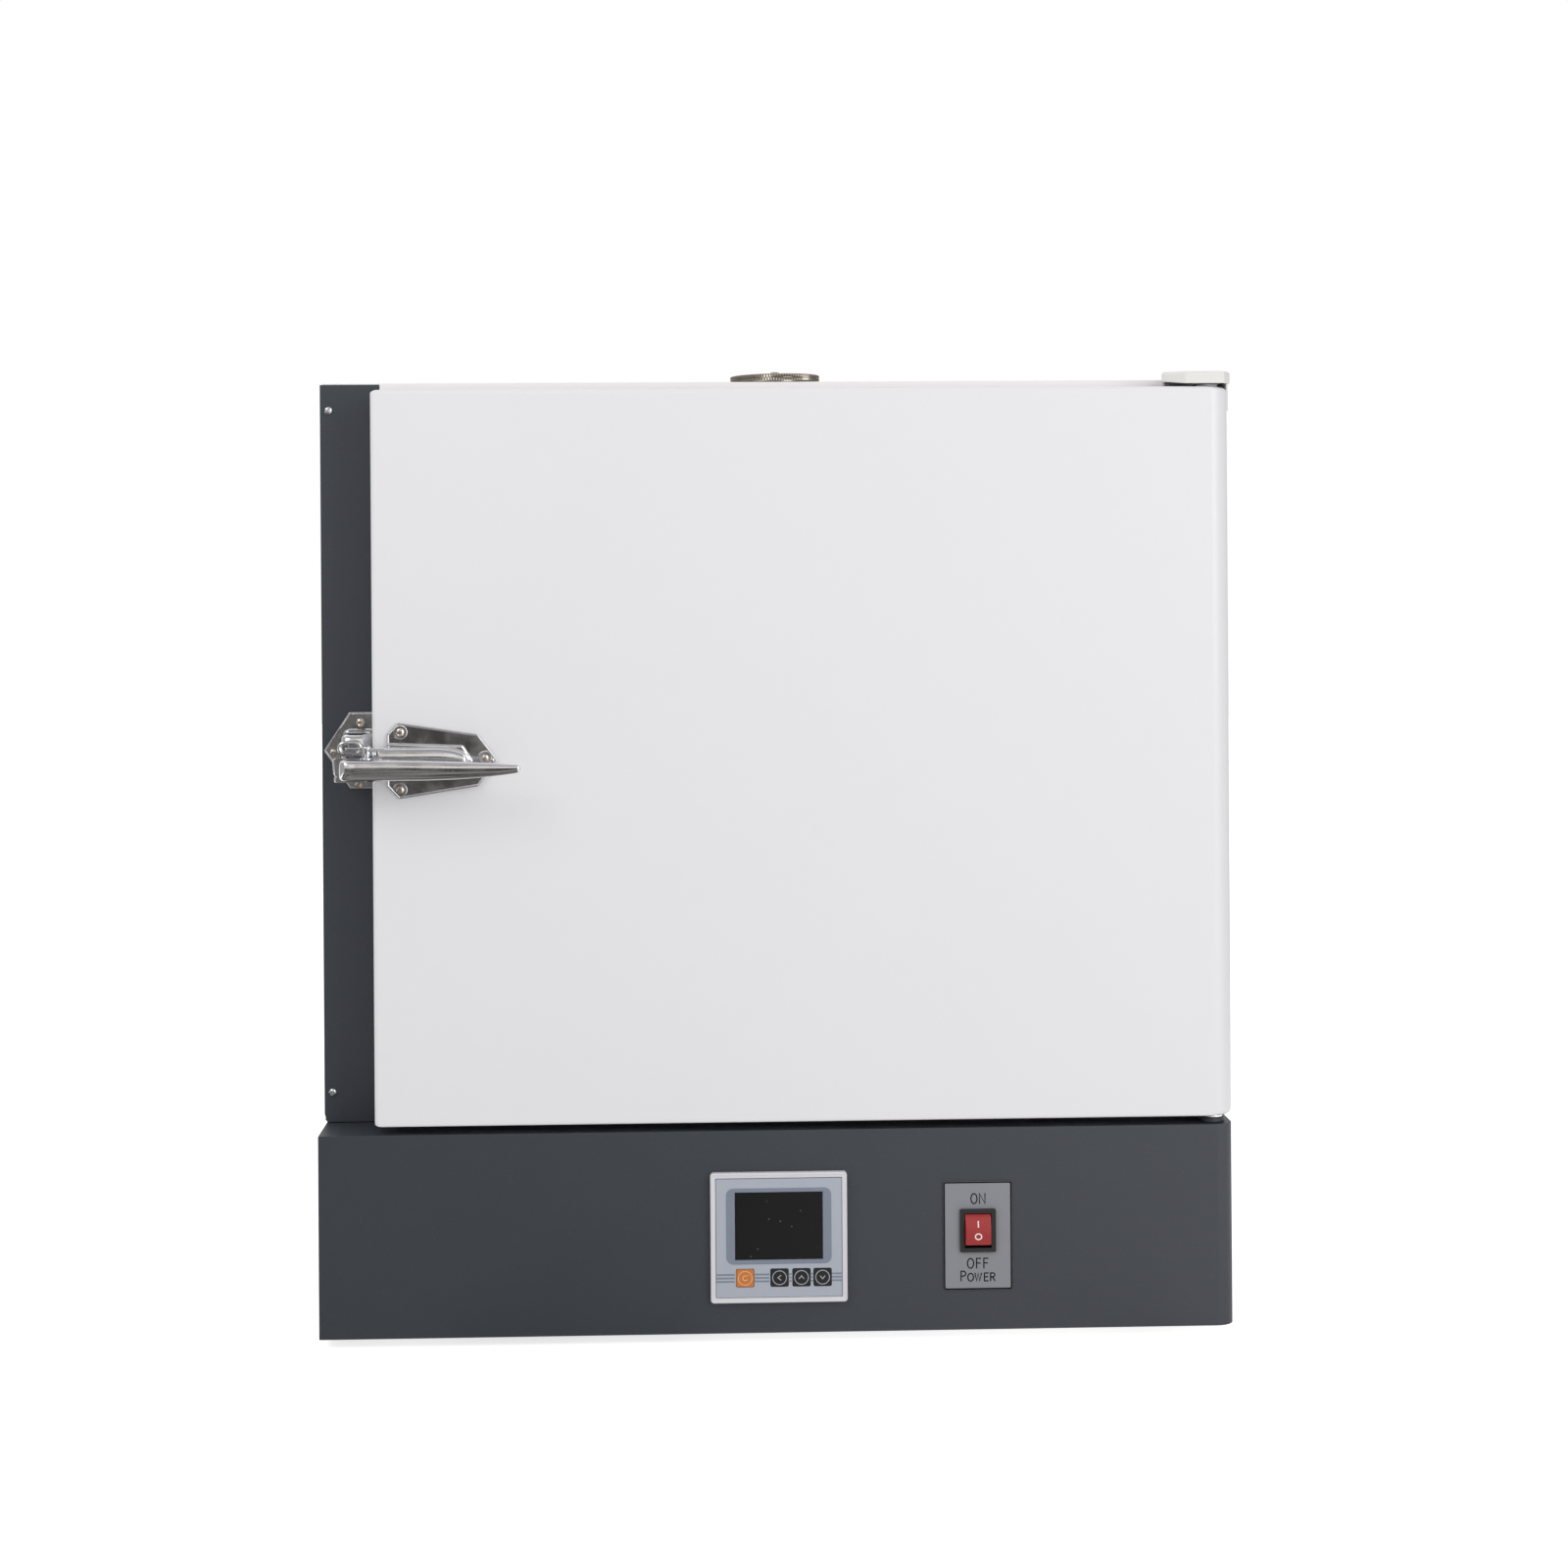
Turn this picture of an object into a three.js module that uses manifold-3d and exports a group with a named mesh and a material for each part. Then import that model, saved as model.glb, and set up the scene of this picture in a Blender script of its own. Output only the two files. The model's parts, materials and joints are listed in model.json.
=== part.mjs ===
// Bench-top high temperature test chamber, in millimetres, +Z up.
// Front faces -Y, and the front plane of base and door is y = 0 until the whole is centred at the end.
import * as THREE from "three";
import { mergeVertices } from "three/addons/utils/BufferGeometryUtils.js";
import Module from "manifold-3d";

const wasm = await Module();
wasm.setup();

// Case
const caseWidth = 652.4;
const caseDepth = 540;
const baseHeight = 144;
const cabinetHeight = 536;
const sheet = 1.5;
const baseCornerRadius = 13;
const seatGap = 0.3;
const runGap = 0.25;
const overrun = 2;
const weldTolerance = 1e-3;

// Feet
const footHeight = 7;
const footRadius = 14;
const footTaper = 2.5;
const footInset = 60;

// Base floor and rear panel
const floorLip = 12;
const rearSlotCount = 9;
const rearSlotWidth = 4;
const rearSlotHeight = 46;
const rearSlotPitch = 14;
const rearSlotsLeftInset = 176.2;

// Power inlet on the base's rear
const inletRightInset = 91.2;
const inletFlangeWidth = 50;
const inletFlangeHeight = 25;
const inletFlangeThickness = 2.5;
const inletBodyWidth = 31;
const inletBodyHeight = 23;
const inletBodyDepth = 26;
const inletSocketWidth = 25;
const inletSocketHeight = 17;
const inletSocketDepth = 18;
const inletSocketCut = 4;

// Heater relay with its heat sink, and terminal block, on the base floor
const relayLeftInset = 136.2;
const relayRearInset = 240;
const relayWidth = 58;
const relayDepth = 45;
const relayHeight = 28;
const sinkWidth = 92;
const sinkDepth = 80;
const sinkPlate = 5;
const sinkFinHeight = 26;
const sinkFinThickness = 2;
const sinkFinCount = 9;
const terminalRightInset = 206.2;
const terminalRearInset = 210;
const terminalLength = 96;
const terminalDepth = 24;
const terminalHeight = 22;
const terminalBarrier = 8;
const terminalBarrierThickness = 2;
const terminalWays = 8;

// Controller on the base front
const controllerX = -0.5;
const controllerDrop = 3.3;
const bezelWidth = 97.2;
const bezelHeight = 92.4;
const bezelThickness = 5;
const bezelCornerRadius = 2;
const overlayWidth = 89.3;
const overlayHeight = 84;
const overlayThickness = 0.7;
const overlayRecess = 1.2;
const controllerCaseWidth = 90;
const controllerCaseHeight = 84;
const controllerCaseDepth = 68;
const controllerCaseRim = 3;
const displayWidth = 62;
const displayHeight = 47.5;
const displayX = 0;
const displayZ = 8.4;
const displayThickness = 2.6;
const keySize = 12.5;
const keyCornerRadius = 1.2;
const keyHeight = 3;
const keyProud = 0.4;
const keyTravel = 0.5;
const keyRowZ = -28.3;
const keyGap = 0.3;
const keyPlaces = { key_set: -24.2, key_left: 0.2, key_up: 15.8, key_down: 30.8 };

// Power switch on the base front
const switchRightInset = 184.8;
const switchPlateDrop = 4.7;
const switchPlateWidth = 49;
const switchPlateHeight = 77;
const switchPlateThickness = 1;
const switchPlateRadius = 1.5;
const switchRise = 3.9;
const switchRimWidth = 25.6;
const switchRimHeight = 30.6;
const switchRimThickness = 2;
const switchBodyWidth = 22;
const switchBodyHeight = 27.6;
const switchBodyDepth = 25;
const switchPocketWidth = 19.2;
const switchPocketHeight = 24.6;
const rockerBackGap = 0.6;
const rockerWidth = 18.4;
const rockerHeight = 22;
const rockerPivotDepth = 3;
const rockerProud = 3;
const rockerCrown = 2.2;
const rockerBackRadius = 9;
const rockerTilt = 8;

// Cabinet sheets
const panelProud = 1.4;
const columnWidth = 43;
const columnDrop = 0.8;
const columnChamferWidth = 2;
const columnChamferHeight = 6;
const rightReturn = 24;
const roofLip = 20;

// Chamber
const chamberSideWall = 101.2;
const chamberFloorHeight = 88;
const chamberHeadHeight = 88;
const linerSheet = 1.2;
const linerFlange = 12;
const rearInsulation = 48;
const bulkheadThickness = 2;

// Gasket round the chamber mouth
const gasketInset = 6;
const gasketWidth = 16;

// Rear cover louvres
const louvreCount = 7;
const louvreBanks = 2;
const louvreWidth = 96;
const louvrePitch = 20;
const louvreHeight = 10;
const louvreDepth = 6;
const louvreLowest = 130;
const louvreBankPitch = 190;
const louvreWall = 1.3;

// Exhaust vent on the roof
const ventX = 11;
const ventRearInset = 101.8;
const ventTubeRadius = 27;
const ventTubeWall = 2;
const ventFlangeRadius = 34;
const ventFlangeThickness = 2;
const ventNeckHeight = 14.7;
const ventDeck = 2.5;
const ventPortRadius = 6.5;
const ventPortCircle = 15.5;
const ventPorts = 4;
const ventCapRadius = 36;
const ventCapThickness = 5.6;
const ventCapTeeth = 36;
const ventToothDepth = 0.8;
const ventSpindleRadius = 3;
const ventKnobRadius = 4.4;
const ventKnobHeight = 3.5;
const ventTurn = 45;

// Air baffle, heaters and fan at the back of the chamber
const plenumDepth = 52;
const baffleSheet = 1.5;
const baffleGap = 1;
const bafflePostRadius = 5;
const bafflePostInset = 26;
const baffleSlotWidth = 30;
const baffleSlotHeight = 9;
const baffleSlotRows = 8;
const baffleSlotEnd = 61;
const baffleSlotInset = 36;
const baffleEyeRadius = 50;
const baffleEyeBars = 5;
const baffleEyeSlot = 9;
const baffleEyePitch = 16;
const impellerRadius = 74;
const impellerEyeRadius = 48;
const impellerDepth = 28;
const impellerPlate = 1.6;
const impellerBlades = 12;
const impellerBladeThickness = 1.6;
const impellerBladeBow = 0.55;
const impellerHubRadius = 12;
const impellerSetback = 9;
const shaftRadius = 5;
const shaftBossDepth = 16;
const shaftHoleRadius = 11;
const heaterRadius = 4;
const heaterFanGap = 22;
const heaterSpacing = 64;
const heaterEndGap = 55;
const heaterBend = 20;
const heaterSetback = 26;
const heaterTail = 16;
const heaterHoleGap = 0.5;
const heaterSides = 4;
const heaterSteps = 44;
const motorRadius = 46;
const motorLength = 58;
const motorCapDepth = 10;
const motorFlange = 112;
const motorFlangeThickness = 3;
const motorBossRadius = 14;
const motorBossHeight = 6;
const motorRibs = 8;
const motorRibDepth = 3;
const motorRibWidth = 5;
const motorRearGap = 24.6;
const probeRadius = 3;
const probeInset = 29;
const probeDrop = 12;
const probeReach = 30;
const probeHeadRadius = 8;
const probeHeadLength = 10;
const probeGap = 0.4;

// Shelf racks and wire shelves
const rackSheet = 1.2;
const rackInsetFront = 14;
const rackRailWidth = 12;
const rackRailThickness = 1.5;
const rackLevels = 5;
const rackWeb = 11.2;
const rackSlotHeight = 10;
const rackSlotColumns = 3;
const shelfLevels = { wire_shelf_lower: 1, wire_shelf_upper: 3 };
const shelfRodRadius = 2.5;
const shelfWireRadius = 1.3;
const shelfWires = 13;
const shelfSideClearance = 2.5;
const shelfFrontGap = 3;
const shelfRearGap = 3;
const shelfTravel = 22;

// Door
const doorThickness = 48;
const doorColumnLap = 1.6;
const doorFootGap = 5.8;
const doorHeadGap = 7.8;
const doorOverhang = 0.3;
const doorCornerRadius = 14;
const doorLeftRadius = 3;
const doorEdgeRadius = 3;
const doorLip = 16;
const doorSealGap = 5;
const plugDepth = 14;
const plugClearance = 10;
const plugSheet = 1.2;

// Hinges
const hingePinRadius = 4;
const hingeBossRadius = 8;
const hingeBossDepth = 20;
const hingePinBite = 14;
const hingeArmThickness = 3;
const hingeArmRadius = 9;
const hingeWasherRadius = 7.5;
const hingeWasherGap = 2;
const hingeFlangeWidth = 30;
const hingePinHead = 1.6;
const hingePinHeadRadius = 6;
const hingeLowerReach = 40;

// Hinge cover
const coverWidth = 42.4;
const coverFlat = 33.6;
const coverChamferDepth = 9;
const coverRightCut = 4.5;
const coverRightCutDepth = 10;
const coverLift = 3;
const coverWall = 1.8;
const coverUnderGap = 2.1;
const coverSetback = 0.5;
const coverBevelWidth = 4;
const coverBevelHeight = 2.4;
const coverSkirtDrop = 17.5;
const coverSkirtStart = 17;
const coverRoofWall = 1.6;

// Latch on the door's left edge
const latchDrop = 1.8;
const latchPinOverhang = 2.6;
const latchPinForward = 10;
const latchPlateThickness = 2.5;
const latchPlateNear = 13.5;
const latchPlateShoulder = 21;
const latchPlateFar = 77;
const latchPlateTip = 91;
const latchPlateNearHalf = 18;
const latchPlateShoulderHalf = 26.7;
const latchPlateFarHalf = 18.5;
const latchDomeStart = 7.5;
const latchDomeFar = 65;
const latchDomeTip = 74;
const latchDomeHalf = 14;
const latchDomeFarHalf = 11.5;
const latchDomeHeight = 15;
const latchDomeBevel = 5;
const latchPinRadius = 1.8;
const latchEarRadius = 3.4;
const latchEarTop = 11;
const latchEarLow = -14;
const latchEarThickness = 2.4;
const leverTop = 3.1;
const leverBottom = -11.2;
const leverLeft = 16;
const leverTip = 108.8;
const leverTipTop = -1.4;
const leverTipBottom = -6.6;
const leverBellyStart = 43;
const leverBellyEnd = 82;
const leverBellyRise = 1.7;
const leverHubRadius = 5;
const leverFront = 26;
const leverBack = 15.5;
const leverTipFront = 28.5;
const leverTipBack = 24;
const leverCornerRadius = 6;
const leverEndInner = 9;
const hookThickness = 3;
const hookReach = 23.5;
const hookDepth = 12;
const hookBottom = -14.2;
const hookRoot = 6;
const hookGap = 0.3;

// Keeper on the cabinet's left column
const keeperThickness = 2;
const keeperLeftInset = 1.4;
const keeperHeight = 55.7;
const keeperPoint = 18.5;
const keeperRise = 4.8;
const keeperRight = 0.5;
const keeperBridgeWidth = 22;
const keeperBridgeBottom = 13.7;
const keeperBridgeTop = 19;
const keeperBridgeHeight = 33;
const keeperBridgeSlope = 5;
const keeperEdgeGap = 2.6;
const keeperLoopWidth = 17.4;
const keeperLoopHeight = 11;
const keeperLoopThickness = 5;
const keeperLoopBottom = 3.6;
const keeperLoopRight = 4.2;
const keeperLoopFront = 12;
const keeperSlotWidth = 8;
const keeperSlotHeight = 2.2;
const keeperNeckWidth = 12;

const arcSteps = 3;
const cornerSteps = 1;
const bladeSteps = 4;
const roundSides = 24;
const pinSides = 16;
const smallSides = 12;
const wireSides = 6;

// Sizes worked out from the ones above
const baseBottom = footHeight;
const baseTop = baseBottom + baseHeight;
const recess = doorThickness + doorSealGap;
const cabinetDepth = caseDepth - recess;
const halfCase = caseWidth / 2;
const leftFace = -halfCase - panelProud;
const columnRight = leftFace + columnWidth;
const doorHeight = cabinetHeight - doorFootGap - doorHeadGap;
const doorRight = halfCase + doorOverhang;
const hingeX = doorRight - doorCornerRadius;
const doorLeftLocal = columnRight - doorColumnLap - hingeX;
const controllerZ = baseHeight / 2 - controllerDrop;
const switchX = halfCase - switchRightInset;
const switchPlateZ = baseHeight / 2 - switchPlateDrop;
const inletX = halfCase - inletRightInset;
const chamberWidth = caseWidth - 2 * chamberSideWall;
const chamberHeight = cabinetHeight - chamberFloorHeight - chamberHeadHeight;
const halfChamber = chamberWidth / 2;
const chamberTop = chamberFloorHeight + chamberHeight;
const linerFront = sheet + seatGap;
const fanBay = seatGap + motorFlangeThickness + motorLength + motorBossHeight + motorRearGap;
const rearWall = linerSheet + seatGap + rearInsulation + seatGap + bulkheadThickness;
const linerRear = cabinetDepth - sheet - fanBay - rearWall;
const ventY = linerRear - ventRearInset;
const slabFront = linerFront + linerSheet + seatGap;
const slabRear = linerRear + linerSheet + seatGap;
const bulkheadFront = slabRear + rearInsulation + seatGap;
const bulkheadRear = bulkheadFront + bulkheadThickness;
const baffleFront = linerRear - plenumDepth;
const fanZ = chamberFloorHeight + chamberHeight / 2;
const innerLeft = leftFace + sheet + seatGap;
const innerRight = halfCase - sheet - seatGap;
const heaterInnerX = impellerRadius + heaterFanGap;
const heaterPlaces = [heaterInnerX, heaterInnerX + heaterSpacing];
const heaterRise = chamberHeight - 2 * heaterEndGap;
const heaterLowZ = fanZ - heaterRise / 2;
const probeX = halfChamber - probeInset;
const probeZ = chamberTop - probeDrop;
const radians = THREE.MathUtils.degToRad;

// Materials
function finish(color, roughness, metalness) {
  return new THREE.MeshStandardMaterial({ color, roughness, metalness, flatShading: true });
}
const whiteCoat = finish(0xe6e6e8, 0.45, 0);
const darkCoat = finish(0x40454c, 0.6, 0);
const chrome = finish(0xb9bbbf, 0.18, 1);
const stainless = finish(0xb4b6b8, 0.35, 1);
const galvanised = finish(0x9da1a4, 0.5, 1);
const warmPlastic = finish(0xe3e1db, 0.5, 0);
const palePlastic = finish(0xd9dadf, 0.5, 0);
const greyFilm = finish(0xa9aeb8, 0.5, 0);
const blackGlass = finish(0x141416, 0.12, 0);
const blackPlastic = finish(0x1d1e1f, 0.45, 0);
const orangePlastic = finish(0xc9782f, 0.45, 0);
const redPlastic = finish(0xb32a30, 0.3, 0);
const greyPlate = finish(0x85868c, 0.5, 0.4);
const rubber = finish(0x1b1b1b, 0.85, 0);
const silicone = finish(0xb5533c, 0.7, 0);
const wool = finish(0xd8d2b8, 0.95, 0);
const motorCast = finish(0x6d7175, 0.5, 0.7);

// Solids: a geometry goes in, joins and cuts are made, and a geometry comes out
function solidOf(shape) {
  if (shape instanceof wasm.Manifold) return shape;
  const bare = shape.clone();
  bare.deleteAttribute("normal");
  bare.deleteAttribute("uv");
  const merged = mergeVertices(bare, weldTolerance);
  return new wasm.Manifold(
    new wasm.Mesh({
      numProp: 3,
      vertProperties: merged.attributes.position.array,
      triVerts: new Uint32Array(merged.index.array),
    }),
  );
}

function join(...shapes) {
  return shapes.map(solidOf).reduce((all, one) => all.add(one));
}

function cut(body, ...tools) {
  return tools.map(solidOf).reduce((rest, tool) => rest.subtract(tool), solidOf(body));
}

function common(first, second) {
  return solidOf(first).intersect(solidOf(second));
}

function geometryOf(shape) {
  if (!(shape instanceof wasm.Manifold)) return shape;
  const found = shape.getMesh();
  const geometry = new THREE.BufferGeometry();
  geometry.setAttribute("position", new THREE.BufferAttribute(found.vertProperties, 3));
  geometry.setIndex(new THREE.BufferAttribute(found.triVerts, 1));
  return geometry;
}

function piece(name, shape, material, group) {
  const mesh = new THREE.Mesh(geometryOf(shape), material);
  mesh.name = name;
  group.add(mesh);
  return mesh;
}

function groupAt(x, y, z, parent) {
  const group = new THREE.Group();
  group.position.set(x, y, z);
  if (parent) parent.add(group);
  return group;
}

// A box between limits along X, Y and Z
function block(spanX, spanY, spanZ) {
  const size = [spanX, spanY, spanZ].map(([low, high]) => high - low);
  const middle = [spanX, spanY, spanZ].map(([low, high]) => (low + high) / 2);
  return new THREE.BoxGeometry(...size).translate(...middle);
}

function outline(points) {
  return new THREE.Shape(points.map(([a, b]) => new THREE.Vector2(a, b)));
}

// A rectangle about a centre, with its corners rounded
function roundedRectangle(width, height, radius, centreA = 0, centreB = 0) {
  const left = centreA - width / 2;
  const right = centreA + width / 2;
  const low = centreB - height / 2;
  const high = centreB + height / 2;
  const quarter = Math.PI / 2;
  const shape = new THREE.Shape();
  shape.absarc(right - radius, low + radius, radius, -quarter, 0);
  shape.absarc(right - radius, high - radius, radius, 0, quarter);
  shape.absarc(left + radius, high - radius, radius, quarter, Math.PI);
  shape.absarc(left + radius, low + radius, radius, Math.PI, Math.PI + quarter);
  shape.closePath();
  return shape;
}

// An outline drawn in the plane square to an axis, swept between two places on that axis.
// Along z the outline is in x and y, along y it is in x and z, along x it is in y and z.
function prism(shape, axis, low, high, bevel = {}) {
  const flat = new THREE.ExtrudeGeometry(shape, {
    depth: high - low,
    curveSegments: arcSteps,
    bevelEnabled: false,
    ...bevel,
  });
  if (axis === "z") return flat.translate(0, 0, low);
  if (axis === "y") return flat.rotateX(Math.PI / 2).translate(0, high, 0);
  const turn = new THREE.Matrix4().set(0, 0, 1, 0, 1, 0, 0, 0, 0, 1, 0, 0, 0, 0, 0, 1);
  return flat.applyMatrix4(turn).translate(low, 0, 0);
}

// A round bar or hole along an axis. The centre is given by the two other coordinates, in order.
function bar(axis, centre, radius, low, high, sides = smallSides) {
  const length = high - low;
  const middle = (low + high) / 2;
  const [a, b] = centre;
  const upright = new THREE.CylinderGeometry(radius, radius, length, sides);
  if (axis === "y") return upright.translate(a, middle, b);
  if (axis === "z") return upright.rotateX(Math.PI / 2).translate(a, b, middle);
  return upright.rotateZ(Math.PI / 2).translate(middle, a, b);
}

// A turned form about Z from a closed profile of radius and height
function turned(profile, sides = roundSides) {
  const points = profile.map(([radius, height]) => new THREE.Vector2(radius, height));
  return new THREE.LatheGeometry([...points, points[0].clone()], sides).rotateX(Math.PI / 2);
}

function ring(outer, inner, low, high, sides = roundSides) {
  return turned([[inner, low], [outer, low], [outer, high], [inner, high]], sides);
}

const assembly = new THREE.Group();

// Base: folded housing, floor, rear panel and feet
const base = groupAt(0, 0, baseBottom, assembly);

function basePlan(inset) {
  const side = halfCase - inset;
  const radius = baseCornerRadius - inset;
  const back = inset ? caseDepth + overrun : caseDepth;
  const shape = new THREE.Shape();
  shape.moveTo(-side, back);
  shape.lineTo(-side, inset);
  shape.absarc(side - radius, inset + radius, radius, -Math.PI / 2, 0);
  shape.lineTo(side, back);
  shape.closePath();
  return shape;
}

function baseHousing() {
  const caseHole = roundedRectangle(
    controllerCaseWidth + 2 * seatGap,
    controllerCaseHeight + 2 * seatGap,
    bezelCornerRadius,
    controllerX,
    controllerZ,
  );
  const switchHole = outline(rectangleAbout(
    switchX,
    switchPlateZ + switchRise,
    switchBodyWidth + 2 * seatGap,
    switchBodyHeight + 2 * seatGap,
  ));
  return cut(
    prism(basePlan(0), "z", 0, baseHeight),
    prism(basePlan(sheet), "z", -overrun, baseHeight - sheet),
    prism(caseHole, "y", -overrun, sheet + overrun),
    prism(switchHole, "y", -overrun, sheet + overrun),
  );
}

function rectangleAbout(centreA, centreB, width, height) {
  const halfWidth = width / 2;
  const halfHeight = height / 2;
  return [
    [centreA - halfWidth, centreB - halfHeight],
    [centreA + halfWidth, centreB - halfHeight],
    [centreA + halfWidth, centreB + halfHeight],
    [centreA - halfWidth, centreB + halfHeight],
  ];
}

function baseFloor() {
  const side = halfCase - sheet - seatGap;
  const front = baseCornerRadius;
  const back = caseDepth - sheet - seatGap;
  const plate = block([-side, side], [sheet + seatGap, back], [0, sheet]);
  const cornerRelief = block(
    [halfCase - baseCornerRadius, side + overrun],
    [0, front],
    [-overrun, floorLip + overrun],
  );
  const lips = [-1, 1].map((hand) => {
    const outer = hand * side;
    const inner = hand * (side - sheet);
    return block([Math.min(outer, inner), Math.max(outer, inner)], [front, back], [0, floorLip]);
  });
  return cut(join(plate, ...lips), cornerRelief);
}

const inletZ = baseHeight / 2;

function baseRearPanel() {
  const side = halfCase - sheet - seatGap;
  const top = baseHeight - sheet - seatGap;
  const bottom = sheet + seatGap;
  const panel = block([-side, side], [caseDepth - sheet, caseDepth], [bottom, top]);
  const lipNotches = [-1, 1].map((hand) => {
    const edge = hand * side;
    const inner = hand * (side - sheet - seatGap);
    return block(
      [Math.min(edge, inner) - seatGap, Math.max(edge, inner) + seatGap],
      [caseDepth - sheet - overrun, caseDepth - sheet],
      [0, floorLip + seatGap],
    );
  });
  const slots = Array.from({ length: rearSlotCount }, (_, i) => {
    const x = rearSlotsLeftInset - halfCase + (i - (rearSlotCount - 1) / 2) * rearSlotPitch;
    return block(
      [x - rearSlotWidth / 2, x + rearSlotWidth / 2],
      [caseDepth - sheet - overrun, caseDepth + overrun],
      [inletZ - rearSlotHeight / 2, inletZ + rearSlotHeight / 2],
    );
  });
  const inletHole = block(
    [inletX - inletBodyWidth / 2 - seatGap, inletX + inletBodyWidth / 2 + seatGap],
    [caseDepth - sheet - overrun, caseDepth + overrun],
    [inletZ - inletBodyHeight / 2 - seatGap, inletZ + inletBodyHeight / 2 + seatGap],
  );
  return cut(panel, ...lipNotches, ...slots, inletHole);
}

// The socket's outline has its two upper corners cut, as such inlets do
function inletSocket(clearance) {
  const halfWidth = inletSocketWidth / 2 - clearance;
  const halfHeight = inletSocketHeight / 2 - clearance;
  return outline([
    [inletX - halfWidth, inletZ - halfHeight],
    [inletX + halfWidth, inletZ - halfHeight],
    [inletX + halfWidth, inletZ + halfHeight - inletSocketCut],
    [inletX + halfWidth - inletSocketCut, inletZ + halfHeight],
    [inletX - halfWidth + inletSocketCut, inletZ + halfHeight],
    [inletX - halfWidth, inletZ + halfHeight - inletSocketCut],
  ]);
}

function powerInlet() {
  const face = caseDepth + seatGap;
  const flangeBack = face + inletFlangeThickness;
  const flange = prism(
    roundedRectangle(inletFlangeWidth, inletFlangeHeight, inletFlangeThickness, inletX, inletZ),
    "y",
    face,
    flangeBack,
  );
  const body = prism(
    outline(rectangleAbout(inletX, inletZ, inletBodyWidth, inletBodyHeight)),
    "y",
    face - inletBodyDepth,
    flangeBack - inletFlangeThickness / 2,
  );
  const socket = prism(inletSocket(0), "y", flangeBack - inletSocketDepth, flangeBack + overrun);
  return cut(join(flange, body), socket);
}

function foot() {
  const top = -seatGap;
  return turned([
    [0, -footHeight],
    [footRadius - footTaper, -footHeight],
    [footRadius, top - seatGap],
    [footRadius - seatGap, top],
    [0, top],
  ], pinSides);
}

piece("base_housing", baseHousing(), darkCoat, base);
piece("base_floor", baseFloor(), galvanised, base);
piece("base_rear_panel", baseRearPanel(), darkCoat, base);
piece("power_inlet", powerInlet(), blackPlastic, base);

for (const [end, y] of [["front", footInset], ["rear", caseDepth - footInset]]) {
  for (const [side, hand] of [["left", -1], ["right", 1]]) {
    const mesh = piece("foot_" + end + "_" + side, foot(), rubber, base);
    mesh.position.set(hand * (halfCase - footInset), y, 0);
  }
}

// Electrical parts on the base floor
function heaterRelay() {
  const bottom = sheet + seatGap;
  const plateTop = bottom + sinkPlate;
  const plate = block(
    [-sinkWidth / 2, sinkWidth / 2],
    [-sinkDepth / 2, sinkDepth / 2],
    [bottom, plateTop],
  );
  const finPitch = (sinkWidth - sinkFinThickness) / (sinkFinCount - 1);
  const fins = Array.from({ length: sinkFinCount }, (_, i) => {
    const x = -sinkWidth / 2 + sinkFinThickness / 2 + i * finPitch;
    return block(
      [x - sinkFinThickness / 2, x + sinkFinThickness / 2],
      [-sinkDepth / 2, sinkDepth / 2],
      [plateTop - overrun, plateTop + sinkFinHeight],
    );
  });
  const relayTop = plateTop + sinkFinHeight + relayHeight;
  const relay = block(
    [-relayWidth / 2, relayWidth / 2],
    [-relayDepth / 2, relayDepth / 2],
    [plateTop, relayTop],
  );
  return join(plate, ...fins, relay);
}

function terminalBlock() {
  const bottom = sheet + seatGap;
  const top = bottom + terminalHeight;
  const bed = block(
    [-terminalLength / 2, terminalLength / 2],
    [-terminalDepth / 2, terminalDepth / 2],
    [bottom, top - terminalBarrier],
  );
  const pitch = (terminalLength - terminalBarrierThickness) / terminalWays;
  const barriers = Array.from({ length: terminalWays + 1 }, (_, i) => {
    const x = -terminalLength / 2 + i * pitch;
    return block(
      [x, x + terminalBarrierThickness],
      [-terminalDepth / 2, terminalDepth / 2],
      [bottom, top],
    );
  });
  return join(bed, ...barriers);
}

const relayPlace = groupAt(relayLeftInset - halfCase, caseDepth - relayRearInset, 0, base);
const terminalPlace = groupAt(halfCase - terminalRightInset, caseDepth - terminalRearInset, 0, base);
piece("heater_relay", heaterRelay(), galvanised, relayPlace);
piece("terminal_block", terminalBlock(), blackPlastic, terminalPlace);

// Controller: bezel, film overlay, window, keys and case, about its own centre on the front plane
const controller = groupAt(controllerX, 0, controllerZ, base);
const bezelBack = -seatGap;
const bezelFront = bezelBack - bezelThickness;
const bezelFloor = bezelFront + overlayRecess;
const keyFront = bezelFront + seatGap - keyProud;
const keyPocketFloor = keyFront + keyHeight + keyTravel + seatGap;
const displayFront = bezelFront + 2 * seatGap;

function controllerBezel() {
  const frame = prism(
    roundedRectangle(bezelWidth, bezelHeight, bezelCornerRadius),
    "y",
    bezelFront,
    bezelBack,
  );
  const recessCut = block(
    [-overlayWidth / 2 - seatGap, overlayWidth / 2 + seatGap],
    [bezelFront - overrun, bezelFloor],
    [-overlayHeight / 2 - seatGap, overlayHeight / 2 + seatGap],
  );
  const displayPocket = prism(
    outline(rectangleAbout(displayX, displayZ, displayWidth + 2 * seatGap, displayHeight + 2 * seatGap)),
    "y",
    bezelFront - overrun,
    displayFront + displayThickness + seatGap,
  );
  const keyPockets = Object.values(keyPlaces).map((x) => prism(
    outline(rectangleAbout(x, keyRowZ, keySize + 2 * keyGap, keySize + 2 * keyGap)),
    "y",
    bezelFront - overrun,
    keyPocketFloor,
  ));
  return cut(frame, recessCut, displayPocket, ...keyPockets);
}

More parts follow.
